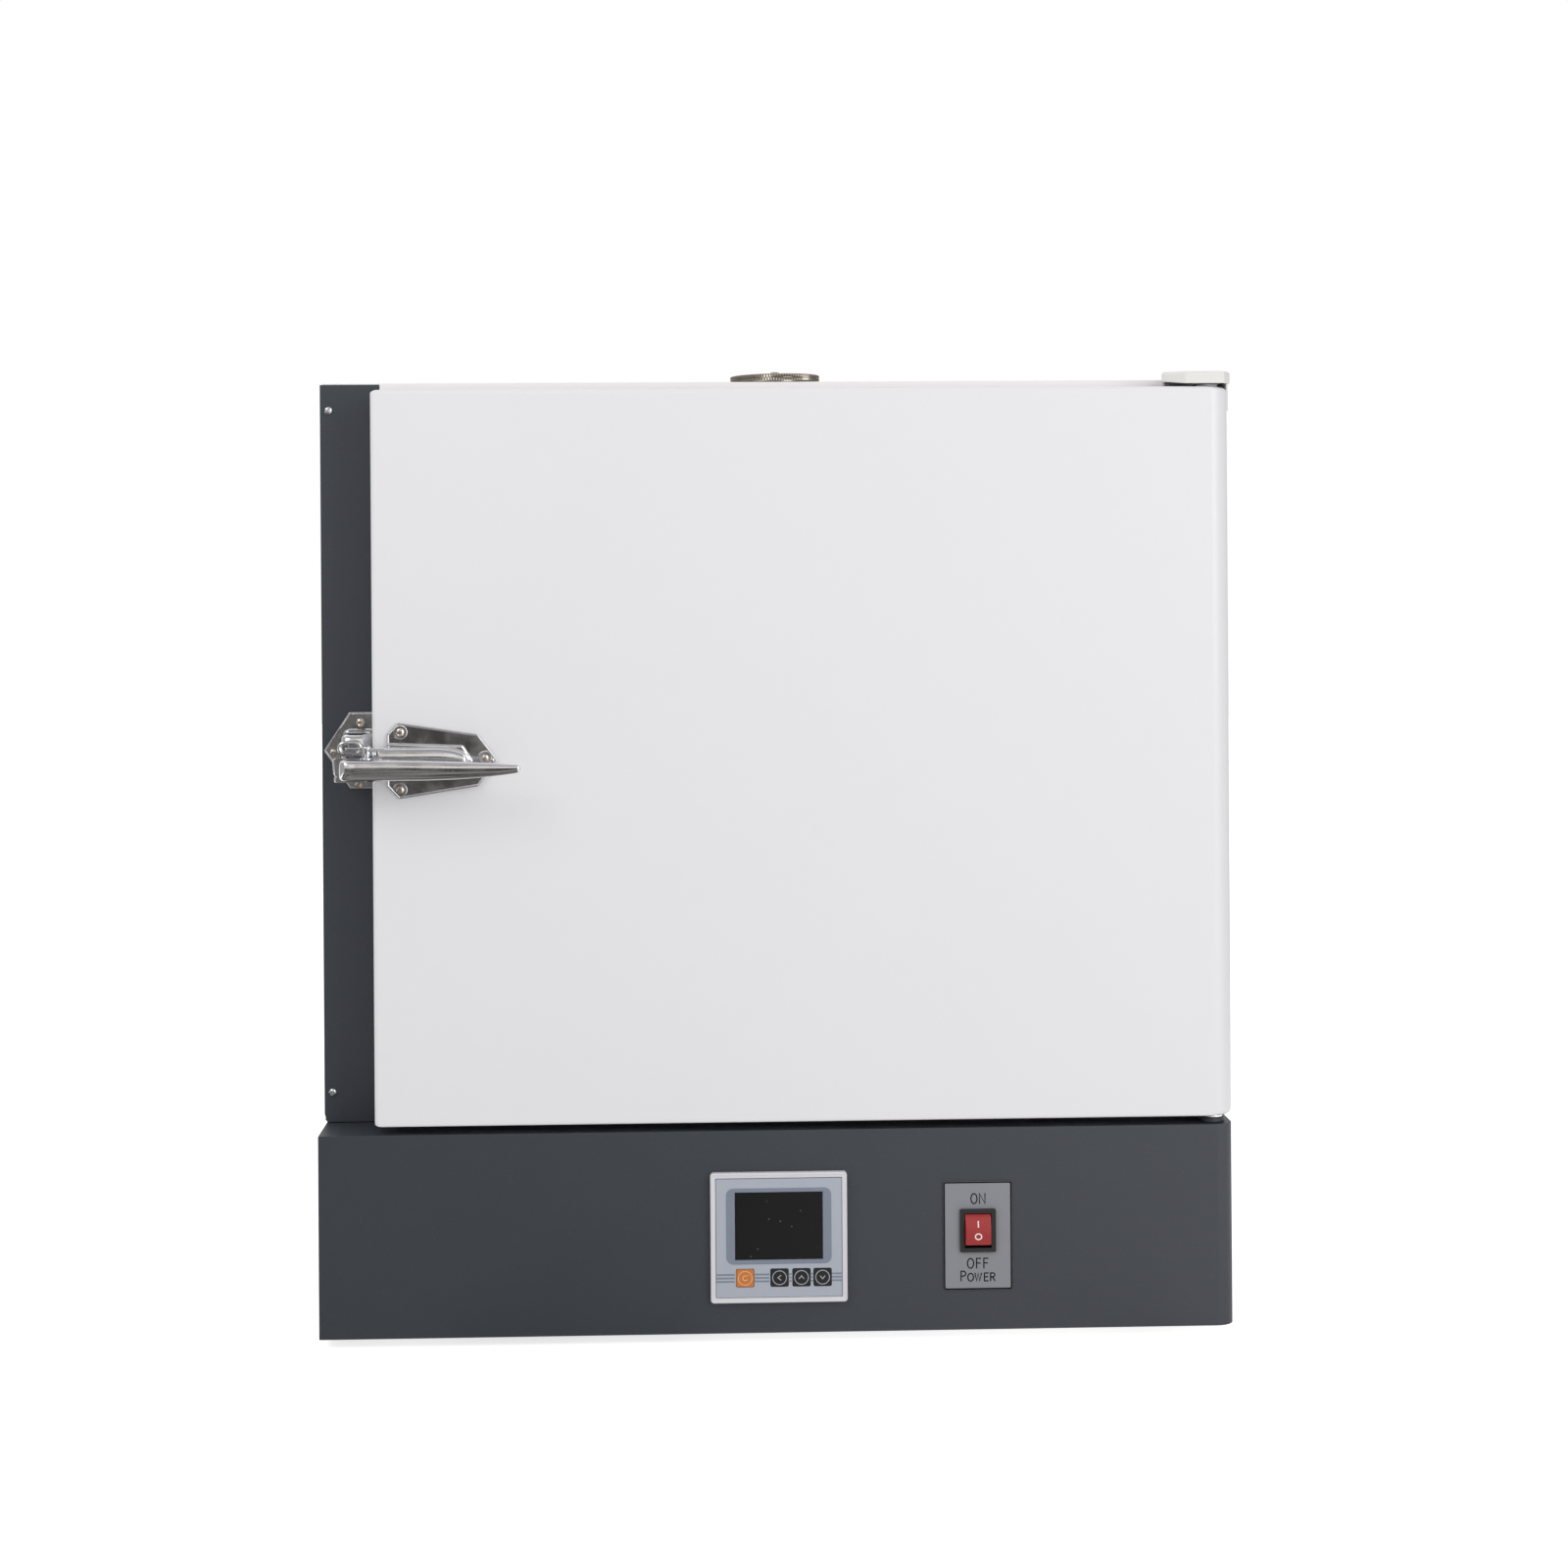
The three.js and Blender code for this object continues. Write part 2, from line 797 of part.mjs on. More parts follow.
function controllerOverlay() {
  const back = bezelFloor - seatGap;
  const film = block(
    [-overlayWidth / 2, overlayWidth / 2],
    [back - overlayThickness, back],
    [-overlayHeight / 2, overlayHeight / 2],
  );
  const windowHole = prism(
    outline(rectangleAbout(displayX, displayZ, displayWidth + 2 * seatGap, displayHeight + 2 * seatGap)),
    "y",
    back - overrun,
    back + overrun,
  );
  const keyHoles = Object.values(keyPlaces).map((x) => prism(
    roundedRectangle(keySize + 2 * keyGap, keySize + 2 * keyGap, keyCornerRadius, x, keyRowZ),
    "y",
    back - overrun,
    back + overrun,
    { curveSegments: cornerSteps },
  ));
  return cut(film, windowHole, ...keyHoles);
}

function displayWindow() {
  return prism(
    outline(rectangleAbout(displayX, displayZ, displayWidth, displayHeight)),
    "y",
    displayFront,
    displayFront + displayThickness,
  );
}

function keyCap(x) {
  return prism(
    roundedRectangle(keySize, keySize, keyCornerRadius, x, keyRowZ),
    "y",
    keyFront,
    keyFront + keyHeight,
    { curveSegments: cornerSteps },
  );
}

function controllerCase() {
  const body = prism(
    roundedRectangle(controllerCaseWidth, controllerCaseHeight, controllerCaseRim),
    "y",
    0,
    controllerCaseDepth,
  );
  const rearStep = block(
    [-controllerCaseWidth, controllerCaseWidth],
    [controllerCaseDepth - controllerCaseRim, controllerCaseDepth + overrun],
    [controllerCaseHeight / 2 - controllerCaseRim * 2, controllerCaseHeight],
  );
  return cut(body, rearStep);
}

piece("controller_bezel", controllerBezel(), palePlastic, controller);
piece("controller_overlay", controllerOverlay(), greyFilm, controller);
piece("display_window", displayWindow(), blackGlass, controller);
piece("controller_case", controllerCase(), blackPlastic, controller);
for (const [name, x] of Object.entries(keyPlaces)) {
  piece(name, keyCap(x), name === "key_set" ? orangePlastic : blackPlastic, controller);
}

// Power switch: plate, body and rocker
const switchGroup = groupAt(switchX, 0, switchPlateZ + switchRise, base);
const plateBack = -seatGap;
const plateFront = plateBack - switchPlateThickness;
const rimBack = plateFront - seatGap;
const rimFront = rimBack - switchRimThickness;

function switchPlate() {
  const plate = prism(
    roundedRectangle(switchPlateWidth, switchPlateHeight, switchPlateRadius, 0, -switchRise),
    "y",
    plateFront,
    plateBack,
  );
  const hole = prism(
    outline(rectangleAbout(0, 0, switchBodyWidth + 2 * seatGap, switchBodyHeight + 2 * seatGap)),
    "y",
    plateFront - overrun,
    plateBack + overrun,
  );
  return cut(plate, hole);
}

function switchBody() {
  const rim = prism(
    roundedRectangle(switchRimWidth, switchRimHeight, switchRimThickness / 2),
    "y",
    rimFront,
    rimBack,
  );
  const body = block(
    [-switchBodyWidth / 2, switchBodyWidth / 2],
    [rimFront + switchRimThickness / 2, switchBodyDepth],
    [-switchBodyHeight / 2, switchBodyHeight / 2],
  );
  const pocket = block(
    [-switchPocketWidth / 2, switchPocketWidth / 2],
    [rimFront - overrun, rockerPivotDepth + rockerBackRadius + rockerBackGap],
    [-switchPocketHeight / 2, switchPocketHeight / 2],
  );
  return cut(join(rim, body), pocket);
}

// The rocker's side outline in y and z about its pivot: a crowned face and a round back
function powerRocker() {
  const half = rockerHeight / 2;
  const edge = rimFront - rockerProud + rockerCrown - rockerPivotDepth;
  const crownRadius = (half * half + rockerCrown * rockerCrown) / (2 * rockerCrown);
  const crownAngle = Math.asin(half / crownRadius);
  const centre = edge - rockerCrown + crownRadius;
  const face = Array.from({ length: 2 * bladeSteps + 1 }, (_, i) => {
    const angle = crownAngle * (i / bladeSteps - 1);
    return [centre - crownRadius * Math.cos(angle), crownRadius * Math.sin(angle)];
  });
  const back = Array.from({ length: bladeSteps + 1 }, (_, i) => {
    const angle = (Math.PI / 3) * (1 - (2 * i) / bladeSteps);
    return [rockerBackRadius * Math.cos(angle), rockerBackRadius * Math.sin(angle)];
  });
  const shoulder = rockerBackRadius / 2 - rockerPivotDepth;
  return prism(
    outline([...face, [shoulder, half], ...back, [shoulder, -half]]),
    "x",
    -rockerWidth / 2,
    rockerWidth / 2,
  );
}

piece("switch_plate", switchPlate(), greyPlate, switchGroup);
piece("switch_body", switchBody(), blackPlastic, switchGroup);
const rocker = piece("power_rocker", powerRocker(), redPlastic, switchGroup);
rocker.position.y = rockerPivotDepth;
rocker.rotation.x = -radians(rockerTilt);

// Cabinet: its own frame starts at the recessed front face, on top of the base
const cabinet = groupAt(0, recess, baseTop, assembly);

function leftSidePanel() {
  const plan = outline([
    [leftFace, 0],
    [columnRight, 0],
    [columnRight, sheet],
    [leftFace + sheet, sheet],
    [leftFace + sheet, cabinetDepth],
    [leftFace, cabinetDepth],
  ]);
  const chamfer = outline([
    [leftFace - overrun, seatGap - overrun],
    [leftFace + columnChamferWidth, seatGap - overrun],
    [leftFace + columnChamferWidth, seatGap],
    [leftFace, seatGap + columnChamferHeight],
    [leftFace - overrun, seatGap + columnChamferHeight],
  ]);
  return cut(
    prism(plan, "z", seatGap, cabinetHeight - columnDrop),
    prism(chamfer, "y", -overrun, columnChamferHeight),
  );
}

function rightSidePanel() {
  const top = cabinetHeight - sheet - seatGap;
  const plan = outline([
    [halfCase, 0],
    [halfCase, cabinetDepth],
    [halfCase - sheet, cabinetDepth],
    [halfCase - sheet, sheet],
    [halfCase - rightReturn, sheet],
    [halfCase - rightReturn, 0],
  ]);
  const lipNotch = block(
    [halfCase - rightReturn - overrun, halfCase - sheet],
    [-overrun, sheet + overrun],
    [cabinetHeight - roofLip - seatGap, cabinetHeight],
  );
  return cut(prism(plan, "z", seatGap, top), lipNotch);
}

function topPanel() {
  const lipLeft = columnRight + seatGap;
  const lipRight = halfCase - sheet - seatGap;
  const under = cabinetHeight - sheet;
  const plate = block([innerLeft, halfCase], [0, cabinetDepth], [under, cabinetHeight]);
  const cornerNotch = block(
    [innerLeft - overrun, lipLeft],
    [-overrun, sheet + seatGap],
    [under - overrun, cabinetHeight + overrun],
  );
  const lipSpan = [cabinetHeight - roofLip, cabinetHeight - sheet / 2];
  const frontLip = block([lipLeft, lipRight], [0, sheet], lipSpan);
  const rearLip = block([innerLeft, lipRight], [cabinetDepth - sheet, cabinetDepth], lipSpan);
  const ventHole = bar(
    "z",
    [ventX, ventY],
    ventTubeRadius + seatGap,
    under - overrun,
    cabinetHeight + overrun,
    roundSides,
  );
  return cut(join(plate, frontLip, rearLip), cornerNotch, ventHole);
}

function mouth(grow, front, rear) {
  return block(
    [-halfChamber - grow, halfChamber + grow],
    [front, rear],
    [chamberFloorHeight - grow, chamberTop + grow],
  );
}

function frontFrame() {
  const face = block(
    [columnRight + seatGap, halfCase - rightReturn - seatGap],
    [0, sheet],
    [seatGap, cabinetHeight - roofLip - seatGap],
  );
  return cut(face, mouth(0, -overrun, sheet + overrun));
}

// Holes that run back from the chamber: fan shaft, heater ends and temperature probe
function rearwardHoles(from, to) {
  const heaterEnds = heaterPlaces.flatMap((x) => [-x, x]).map((x) => bar(
    "y",
    [x, heaterLowZ],
    heaterRadius + heaterHoleGap,
    from,
    to,
    heaterSides * 2,
  ));
  return [
    bar("y", [0, fanZ], shaftHoleRadius, from, to, pinSides),
    bar("y", [probeX, probeZ], probeRadius + probeGap, from, to, heaterSides * 2),
    ...heaterEnds,
  ];
}

// Four walls with a flange round the mouth; the rear sheet is a piece of its own
function innerLiner() {
  const shell = mouth(linerSheet, linerFront, linerRear - seatGap);
  const flange = mouth(linerFlange, linerFront, linerFront + linerSheet);
  const ventHole = bar(
    "z",
    [ventX, ventY],
    ventTubeRadius + seatGap,
    chamberTop - overrun,
    chamberTop + linerSheet + overrun,
    roundSides,
  );
  return cut(
    join(shell, flange),
    mouth(0, linerFront - overrun, linerRear + overrun),
    ventHole,
  );
}

function linerBack() {
  return cut(
    mouth(linerSheet, linerRear, linerRear + linerSheet),
    ...rearwardHoles(linerRear - overrun, linerRear + linerSheet + overrun),
  );
}

function insulationWrap() {
  const outer = block(
    [innerLeft, innerRight],
    [slabFront, slabRear - 2 * seatGap],
    [seatGap, cabinetHeight - sheet - seatGap],
  );
  const ventHole = bar(
    "z",
    [ventX, ventY],
    ventTubeRadius + seatGap,
    chamberTop,
    cabinetHeight + overrun,
    roundSides,
  );
  return cut(
    outer,
    mouth(linerSheet + seatGap, slabFront - overrun, slabRear + overrun),
    lipRelief(),
    ventHole,
  );
}

// Room for the roof's front lip where it hangs in front of the insulation
function lipRelief() {
  return block(
    [columnRight, halfCase],
    [-overrun, slabFront],
    [cabinetHeight - roofLip - seatGap, cabinetHeight],
  );
}

function insulationRear() {
  const slab = block(
    [innerLeft, innerRight],
    [slabRear, slabRear + rearInsulation],
    [seatGap, cabinetHeight - sheet - seatGap],
  );
  return cut(slab, ...rearwardHoles(slabRear - overrun, bulkheadRear));
}

function rearBulkhead() {
  const plate = block(
    [innerLeft, innerRight],
    [bulkheadFront, bulkheadRear],
    [seatGap, cabinetHeight - sheet - seatGap],
  );
  return cut(plate, ...rearwardHoles(bulkheadFront - overrun, bulkheadRear + overrun));
}

// One hooded louvre: a wedge pressed outwards, open along its lower edge
function louvre(x, z) {
  const out = cabinetDepth;
  const half = louvreWidth / 2;
  const hood = outline([
    [out - sheet / 2, z],
    [out + louvreDepth, z],
    [out + louvreDepth, z + louvreWall],
    [out, z + louvreHeight],
    [out - sheet / 2, z + louvreHeight],
  ]);
  const hollow = outline([
    [out - sheet - overrun, z - overrun],
    [out + louvreDepth - louvreWall, z - overrun],
    [out + louvreDepth - louvreWall, z],
    [out, z + louvreHeight - 2 * louvreWall],
    [out - sheet - overrun, z + louvreHeight - 2 * louvreWall],
  ]);
  const slotFloor = block(
    [x - half, x + half],
    [out - sheet - overrun, out],
    [z - overrun * 2, z],
  );
  return {
    hood: prism(hood, "x", x - half, x + half),
    hollow: cut(
      prism(hollow, "x", x - half + louvreWall, x + half - louvreWall),
      slotFloor,
    ),
  };
}

function rearCover() {
  const cover = block(
    [innerLeft, innerRight],
    [cabinetDepth - sheet, cabinetDepth],
    [seatGap, cabinetHeight - roofLip - seatGap],
  );
  const louvres = [];
  for (let bank = 0; bank < louvreBanks; bank += 1) {
    const x = (bank - (louvreBanks - 1) / 2) * louvreBankPitch;
    for (let row = 0; row < louvreCount; row += 1) {
      louvres.push(louvre(x, louvreLowest + row * louvrePitch));
    }
  }
  return cut(join(cover, ...louvres.map((one) => one.hood)), ...louvres.map((one) => one.hollow));
}

function doorGasket() {
  const centreZ = chamberFloorHeight + chamberHeight / 2;
  const outer = 2 * (gasketInset + gasketWidth);
  const shape = roundedRectangle(
    chamberWidth + outer,
    chamberHeight + outer,
    gasketInset + gasketWidth,
    0,
    centreZ,
  );
  shape.holes.push(roundedRectangle(
    chamberWidth + 2 * gasketInset,
    chamberHeight + 2 * gasketInset,
    gasketInset,
    0,
    centreZ,
  ));
  return prism(shape, "y", seatGap - doorSealGap, -seatGap);
}

piece("left_side_panel", leftSidePanel(), darkCoat, cabinet);
piece("right_side_panel", rightSidePanel(), whiteCoat, cabinet);
piece("top_panel", topPanel(), whiteCoat, cabinet);
piece("front_frame", frontFrame(), whiteCoat, cabinet);
piece("inner_liner", innerLiner(), stainless, cabinet);
piece("liner_rear", linerBack(), stainless, cabinet);
piece("insulation_wrap", insulationWrap(), wool, cabinet);
piece("insulation_rear", insulationRear(), wool, cabinet);
piece("rear_bulkhead", rearBulkhead(), galvanised, cabinet);
piece("rear_cover", rearCover(), whiteCoat, cabinet);
piece("door_gasket", doorGasket(), silicone, cabinet);

// Exhaust vent: a ported collar and a ported cap that turns on it
const vent = groupAt(ventX, ventY, cabinetHeight, cabinet);
const deckTop = ventNeckHeight;
const capBottom = deckTop + seatGap;

function ventPortsAt(low, high, startAngle) {
  return Array.from({ length: ventPorts }, (_, i) => {
    const angle = startAngle + (i * 2 * Math.PI) / ventPorts;
    const centre = [ventPortCircle * Math.cos(angle), ventPortCircle * Math.sin(angle)];
    return bar("z", centre, ventPortRadius, low, high, smallSides);
  });
}

function ventCollar() {
  const bottom = chamberTop - cabinetHeight;
  const bore = ventTubeRadius - ventTubeWall;
  const body = turned([
    [0, bottom],
    [ventTubeRadius, bottom],
    [ventTubeRadius, seatGap],
    [ventFlangeRadius, seatGap],
    [ventFlangeRadius, seatGap + ventFlangeThickness],
    [ventTubeRadius, seatGap + ventFlangeThickness],
    [ventTubeRadius, deckTop],
    [0, deckTop],
  ]);
  return cut(
    body,
    bar("z", [0, 0], bore, bottom - overrun, deckTop - ventDeck, roundSides),
    bar("z", [0, 0], ventSpindleRadius + runGap, bottom, deckTop + overrun),
    ...ventPortsAt(deckTop - ventDeck - overrun, deckTop + overrun, 0),
  );
}

// The cap's rim is toothed like a coin's edge
function ventCap() {
  const top = capBottom + ventCapThickness;
  const toothed = Array.from({ length: ventCapTeeth * 2 }, (_, i) => {
    const radius = i % 2 ? ventCapRadius : ventCapRadius - ventToothDepth;
    const angle = (i * Math.PI) / ventCapTeeth;
    return [radius * Math.cos(angle), radius * Math.sin(angle)];
  });
  const rim = prism(outline(toothed), "z", capBottom + ventCapThickness / 4, top - ventCapThickness / 4);
  const disc = bar("z", [0, 0], ventCapRadius - ventToothDepth, capBottom, top, roundSides * 2);
  const knob = turned([
    [0, top - overrun],
    [ventKnobRadius, top - overrun],
    [ventKnobRadius, top + ventKnobHeight / 2],
    [ventKnobRadius / 2, top + ventKnobHeight],
    [0, top + ventKnobHeight],
  ], smallSides);
  const spindle = bar(
    "z",
    [0, 0],
    ventSpindleRadius,
    deckTop - ventDeck - overrun,
    capBottom + overrun,
  );
  return cut(
    join(disc, rim, knob, spindle),
    ...ventPortsAt(capBottom - overrun / 8, top + overrun, radians(ventTurn)),
  );
}

piece("vent_collar", ventCollar(), stainless, vent);
piece("vent_cap", ventCap(), chrome, vent);

// Behind the chamber: baffle, heaters, fan and probe
function airBaffle() {
  const side = halfChamber - baffleGap;
  const low = chamberFloorHeight + baffleGap;
  const high = chamberTop - baffleGap;
  const rear = baffleFront + baffleSheet;
  const plate = block([-side, side], [baffleFront, rear], [low, high]);
  const posts = [-1, 1].flatMap((handX) => [-1, 1].map((handZ) => bar(
    "y",
    [handX * (side - bafflePostInset), fanZ + handZ * ((high - low) / 2 - bafflePostInset)],
    bafflePostRadius,
    baffleFront + baffleSheet / 2,
    linerRear - seatGap,
    smallSides,
  )));
  const slotPitch = (chamberHeight - 2 * baffleSlotEnd) / (baffleSlotRows - 1);
  const slots = [-1, 1].flatMap((hand) => Array.from({ length: baffleSlotRows }, (_, row) => {
    const x = hand * (side - baffleSlotInset - baffleSlotWidth / 2);
    const z = fanZ + (row - (baffleSlotRows - 1) / 2) * slotPitch;
    return block(
      [x - baffleSlotWidth / 2, x + baffleSlotWidth / 2],
      [baffleFront - overrun, rear + overrun],
      [z - baffleSlotHeight / 2, z + baffleSlotHeight / 2],
    );
  }));
  const eye = Array.from({ length: baffleEyeBars }, (_, i) => {
    const z = (i - (baffleEyeBars - 1) / 2) * baffleEyePitch;
    const half = Math.sqrt(baffleEyeRadius ** 2 - z ** 2);
    return block(
      [-half, half],
      [baffleFront - overrun, rear + overrun],
      [fanZ + z - baffleEyeSlot / 2, fanZ + z + baffleEyeSlot / 2],
    );
  });
  const probeHole = bar("y", [probeX, probeZ], probeRadius + probeGap, baffleFront - overrun, rear + overrun);
  return cut(join(plate, ...posts), ...slots, ...eye, probeHole);
}

// A sheathed element: in through the rear wall, up, over, down and out again
function heaterElement(hand) {
  const [nearX, farX] = heaterPlaces.map((x) => hand * x);
  const y = linerRear - heaterSetback;
  const end = bulkheadRear + heaterTail;
  const low = heaterLowZ;
  const high = low + heaterRise;
  const bend = heaterBend;
  const step = Math.sign(farX - nearX) * bend;
  const at = (x, py, z) => new THREE.Vector3(x, py, z);
  const path = new THREE.CurvePath();
  path.add(new THREE.LineCurve3(at(nearX, end, low), at(nearX, y + bend, low)));
  path.add(new THREE.QuadraticBezierCurve3(
    at(nearX, y + bend, low), at(nearX, y, low), at(nearX, y, low + bend),
  ));
  path.add(new THREE.LineCurve3(at(nearX, y, low + bend), at(nearX, y, high - bend)));
  path.add(new THREE.QuadraticBezierCurve3(
    at(nearX, y, high - bend), at(nearX, y, high), at(nearX + step, y, high),
  ));
  path.add(new THREE.LineCurve3(at(nearX + step, y, high), at(farX - step, y, high)));
  path.add(new THREE.QuadraticBezierCurve3(
    at(farX - step, y, high), at(farX, y, high), at(farX, y, high - bend),
  ));
  path.add(new THREE.LineCurve3(at(farX, y, high - bend), at(farX, y, low + bend)));
  path.add(new THREE.QuadraticBezierCurve3(
    at(farX, y, low + bend), at(farX, y, low), at(farX, y + bend, low),
  ));
  path.add(new THREE.LineCurve3(at(farX, y + bend, low), at(farX, end, low)));
  const section = new THREE.Shape();
  section.absarc(0, 0, heaterRadius, 0, 2 * Math.PI);
  return new THREE.ExtrudeGeometry(section, {
    steps: heaterSteps,
    curveSegments: heaterSides,
    bevelEnabled: false,
    extrudePath: path,
  });
}

piece("air_baffle", airBaffle(), stainless, cabinet);
piece("heater_left", heaterElement(-1), motorCast, cabinet);
piece("heater_right", heaterElement(1), motorCast, cabinet);

// Fan: its own frame is on the shaft's axis, at the chamber's rear wall
const fan = groupAt(0, linerRear, fanZ, cabinet);
const motorFront = bulkheadRear - linerRear + seatGap;
const impellerBack = -impellerSetback;
const impellerFront = impellerBack - impellerDepth;

function fanImpeller() {
  const backPlate = bar("y", [0, 0], impellerRadius, impellerBack - impellerPlate, impellerBack, roundSides);
  const hub = bar("y", [0, 0], impellerHubRadius, impellerBack - shaftBossDepth, impellerBack, smallSides);
  const shroud = cut(
    bar("y", [0, 0], impellerRadius, impellerFront, impellerFront + impellerPlate, roundSides),
    bar("y", [0, 0], impellerEyeRadius, impellerFront - overrun, impellerFront + overrun, roundSides),
  );
  const blades = Array.from({ length: impellerBlades }, (_, i) => impellerBlade(i));
  const bore = bar("y", [0, 0], shaftRadius + runGap, impellerFront, impellerBack + overrun);
  return cut(join(backPlate, hub, shroud, ...blades), bore);
}

// One blade, bowed between the eye and the rim, swept along the shaft
function impellerBlade(index) {
  const start = (index * 2 * Math.PI) / impellerBlades;
  const inner = impellerEyeRadius - impellerBladeThickness;
  const outer = impellerRadius - impellerBladeThickness;
  const edge = (offset) => Array.from({ length: bladeSteps }, (_, i) => {
    const share = i / (bladeSteps - 1);
    const radius = inner + (outer - inner) * share;
    const angle = start + impellerBladeBow * share * share + offset / radius;
    return [radius * Math.cos(angle), radius * Math.sin(angle)];
  });
  const half = impellerBladeThickness / 2;
  const shape = outline([...edge(-half), ...edge(half).reverse()]);
  return prism(shape, "y", impellerFront + impellerPlate / 2, impellerBack - impellerPlate / 2);
}

function fanShaft() {
  return bar("y", [0, 0], shaftRadius, impellerBack - shaftBossDepth, motorFront + motorBossHeight, smallSides);
}

function fanMotor() {
  const front = motorFront;
  const bodyFront = front + motorFlangeThickness;
  const bodyRear = bodyFront + motorLength;
  const flange = prism(
    roundedRectangle(motorFlange, motorFlange, motorFlange / 6),
    "y",
    front,
    bodyFront,
  );
  const body = turned([
    [0, bodyFront - motorFlangeThickness / 2],
    [motorRadius, bodyFront - motorFlangeThickness / 2],
    [motorRadius, bodyRear - motorCapDepth],
    [motorRadius - motorCapDepth, bodyRear],
    [motorBossRadius, bodyRear],
    [motorBossRadius, bodyRear + motorBossHeight],
    [0, bodyRear + motorBossHeight],
  ]).rotateX(-Math.PI / 2);
  const grooves = Array.from({ length: motorRibs }, (_, i) => {
    const groove = block(
      [motorRadius - motorRibDepth, motorRadius + overrun],
      [bodyFront + motorCapDepth, bodyRear - motorCapDepth * 2],
      [-motorRibWidth / 2, motorRibWidth / 2],
    );
    return groove.rotateY((i * 2 * Math.PI) / motorRibs);
  });
  const bore = bar("y", [0, 0], shaftRadius + runGap, front - overrun, front + motorBossHeight + overrun);
  return cut(join(flange, body), ...grooves, bore);
}

piece("fan_impeller", fanImpeller(), stainless, fan);
piece("fan_shaft", fanShaft(), chrome, fan);
piece("fan_motor", fanMotor(), motorCast, fan);

function temperatureProbe() {
  const tip = baffleFront - probeReach;
  const head = bulkheadRear + seatGap;
  const stem = bar("y", [probeX, probeZ], probeRadius, tip, head + probeHeadLength / 2);
  const gland = bar("y", [probeX, probeZ], probeHeadRadius, head, head + probeHeadLength, smallSides / 2);
  return join(stem, gland);
}

piece("temperature_probe", temperatureProbe(), stainless, cabinet);

// Shelf racks: a slotted side sheet with rails, left and right
const rackRear = baffleFront - seatGap;
const rackFront = linerFront + rackInsetFront;
const rackPitch = chamberHeight / (rackLevels + 1);

function shelfRack(hand) {
  const wall = hand * (halfChamber - seatGap);
  const sheetInner = wall - hand * rackSheet;
  const railInner = sheetInner - hand * rackRailWidth;
  const span = (a, b) => [Math.min(a, b), Math.max(a, b)];
  const plate = block(
    span(wall, sheetInner),
    [rackFront, rackRear],
    [chamberFloorHeight + seatGap, chamberTop - rackPitch / 2],
  );
  const rails = Array.from({ length: rackLevels }, (_, level) => {
    const top = chamberFloorHeight + (level + 1) * rackPitch;
    return block(
      span(wall, railInner),
      [rackFront, rackRear],
      [top - rackRailThickness, top],
    );
  });
  const slotPitch = (rackRear - rackFront) / rackSlotColumns;
  const slotLength = slotPitch - rackWeb;
  const slots = Array.from({ length: rackLevels * rackSlotColumns }, (_, i) => {
    const level = Math.floor(i / rackSlotColumns);
    const column = i % rackSlotColumns;
    const y = rackFront + slotPitch * (column + 1 / 2);
    const z = chamberFloorHeight + (level + 1 / 2) * rackPitch;
    return block(
      span(wall + hand * overrun, sheetInner - hand * overrun),
      [y - slotLength / 2, y + slotLength / 2],
      [z - rackSlotHeight / 2, z + rackSlotHeight / 2],
    );
  });
  return cut(join(plate, ...rails), ...slots);
}

// A wire shelf: a frame of thicker rod, with thin wires lying across it
function wireShelf(level) {
  const railTop = chamberFloorHeight + (level + 1) * rackPitch;
  const z = railTop + seatGap + shelfRodRadius;
  const side = halfChamber - seatGap - rackSheet - shelfSideClearance - shelfRodRadius;
  const rear = baffleFront - shelfRearGap - shelfRodRadius;
  const front = rackFront + shelfTravel + shelfFrontGap + shelfRodRadius;
  const sides = [-side, side].map((x) => bar("y", [x, z], shelfRodRadius, front, rear, heaterSides * 2));
  const crossSpan = [-side, side];
  const crosses = [front, (front + rear) / 2, rear].map((y) => bar(
    "x",
    [y, z],
    shelfRodRadius,
    ...crossSpan,
    heaterSides * 2,
  ));
  const corners = [-side, side].flatMap((x) => [front, rear].map((y) => {
    const ball = new THREE.SphereGeometry(shelfRodRadius, heaterSides * 2, heaterSides);
    return ball.rotateX(Math.PI / 2).translate(x, y, z);
  }));
  const pitch = (2 * side) / (shelfWires + 1);
  const wires = Array.from({ length: shelfWires }, (_, i) => bar(
    "y",
    [-side + pitch * (i + 1), z + shelfRodRadius],
    shelfWireRadius,
    front,
    rear,
    wireSides,
  ));
  return join(...sides, ...crosses, ...corners, ...wires);
}

piece("shelf_rack_left", shelfRack(-1), stainless, cabinet);
piece("shelf_rack_right", shelfRack(1), stainless, cabinet);
for (const [name, level] of Object.entries(shelfLevels)) {
  piece(name, wireShelf(level), stainless, cabinet);
}

// Hinge hardware on the cabinet, about the hinge axis
const hinge = groupAt(hingeX, doorCornerRadius - recess, 0, cabinet);
const frameFace = recess - doorCornerRadius - seatGap;
const doorTop = doorFootGap + doorHeight;
const upperArmBottom = doorTop + hingeWasherGap;
const upperArmTop = upperArmBottom + hingeArmThickness;
const lowerArmBottom = seatGap;
const lowerArmTop = lowerArmBottom + hingeArmThickness;

function hingeArm(reach, low, high) {
  const plate = new THREE.Shape();
  plate.moveTo(hingeArmRadius, reach);
  plate.lineTo(-hingeArmRadius, reach);
  plate.absarc(0, 0, hingeArmRadius, Math.PI, 2 * Math.PI);
  plate.closePath();
  return cut(
    prism(plate, "z", low, high),
    bar("z", [0, 0], hingePinRadius + runGap, low - overrun, high + overrun, pinSides),
  );
}

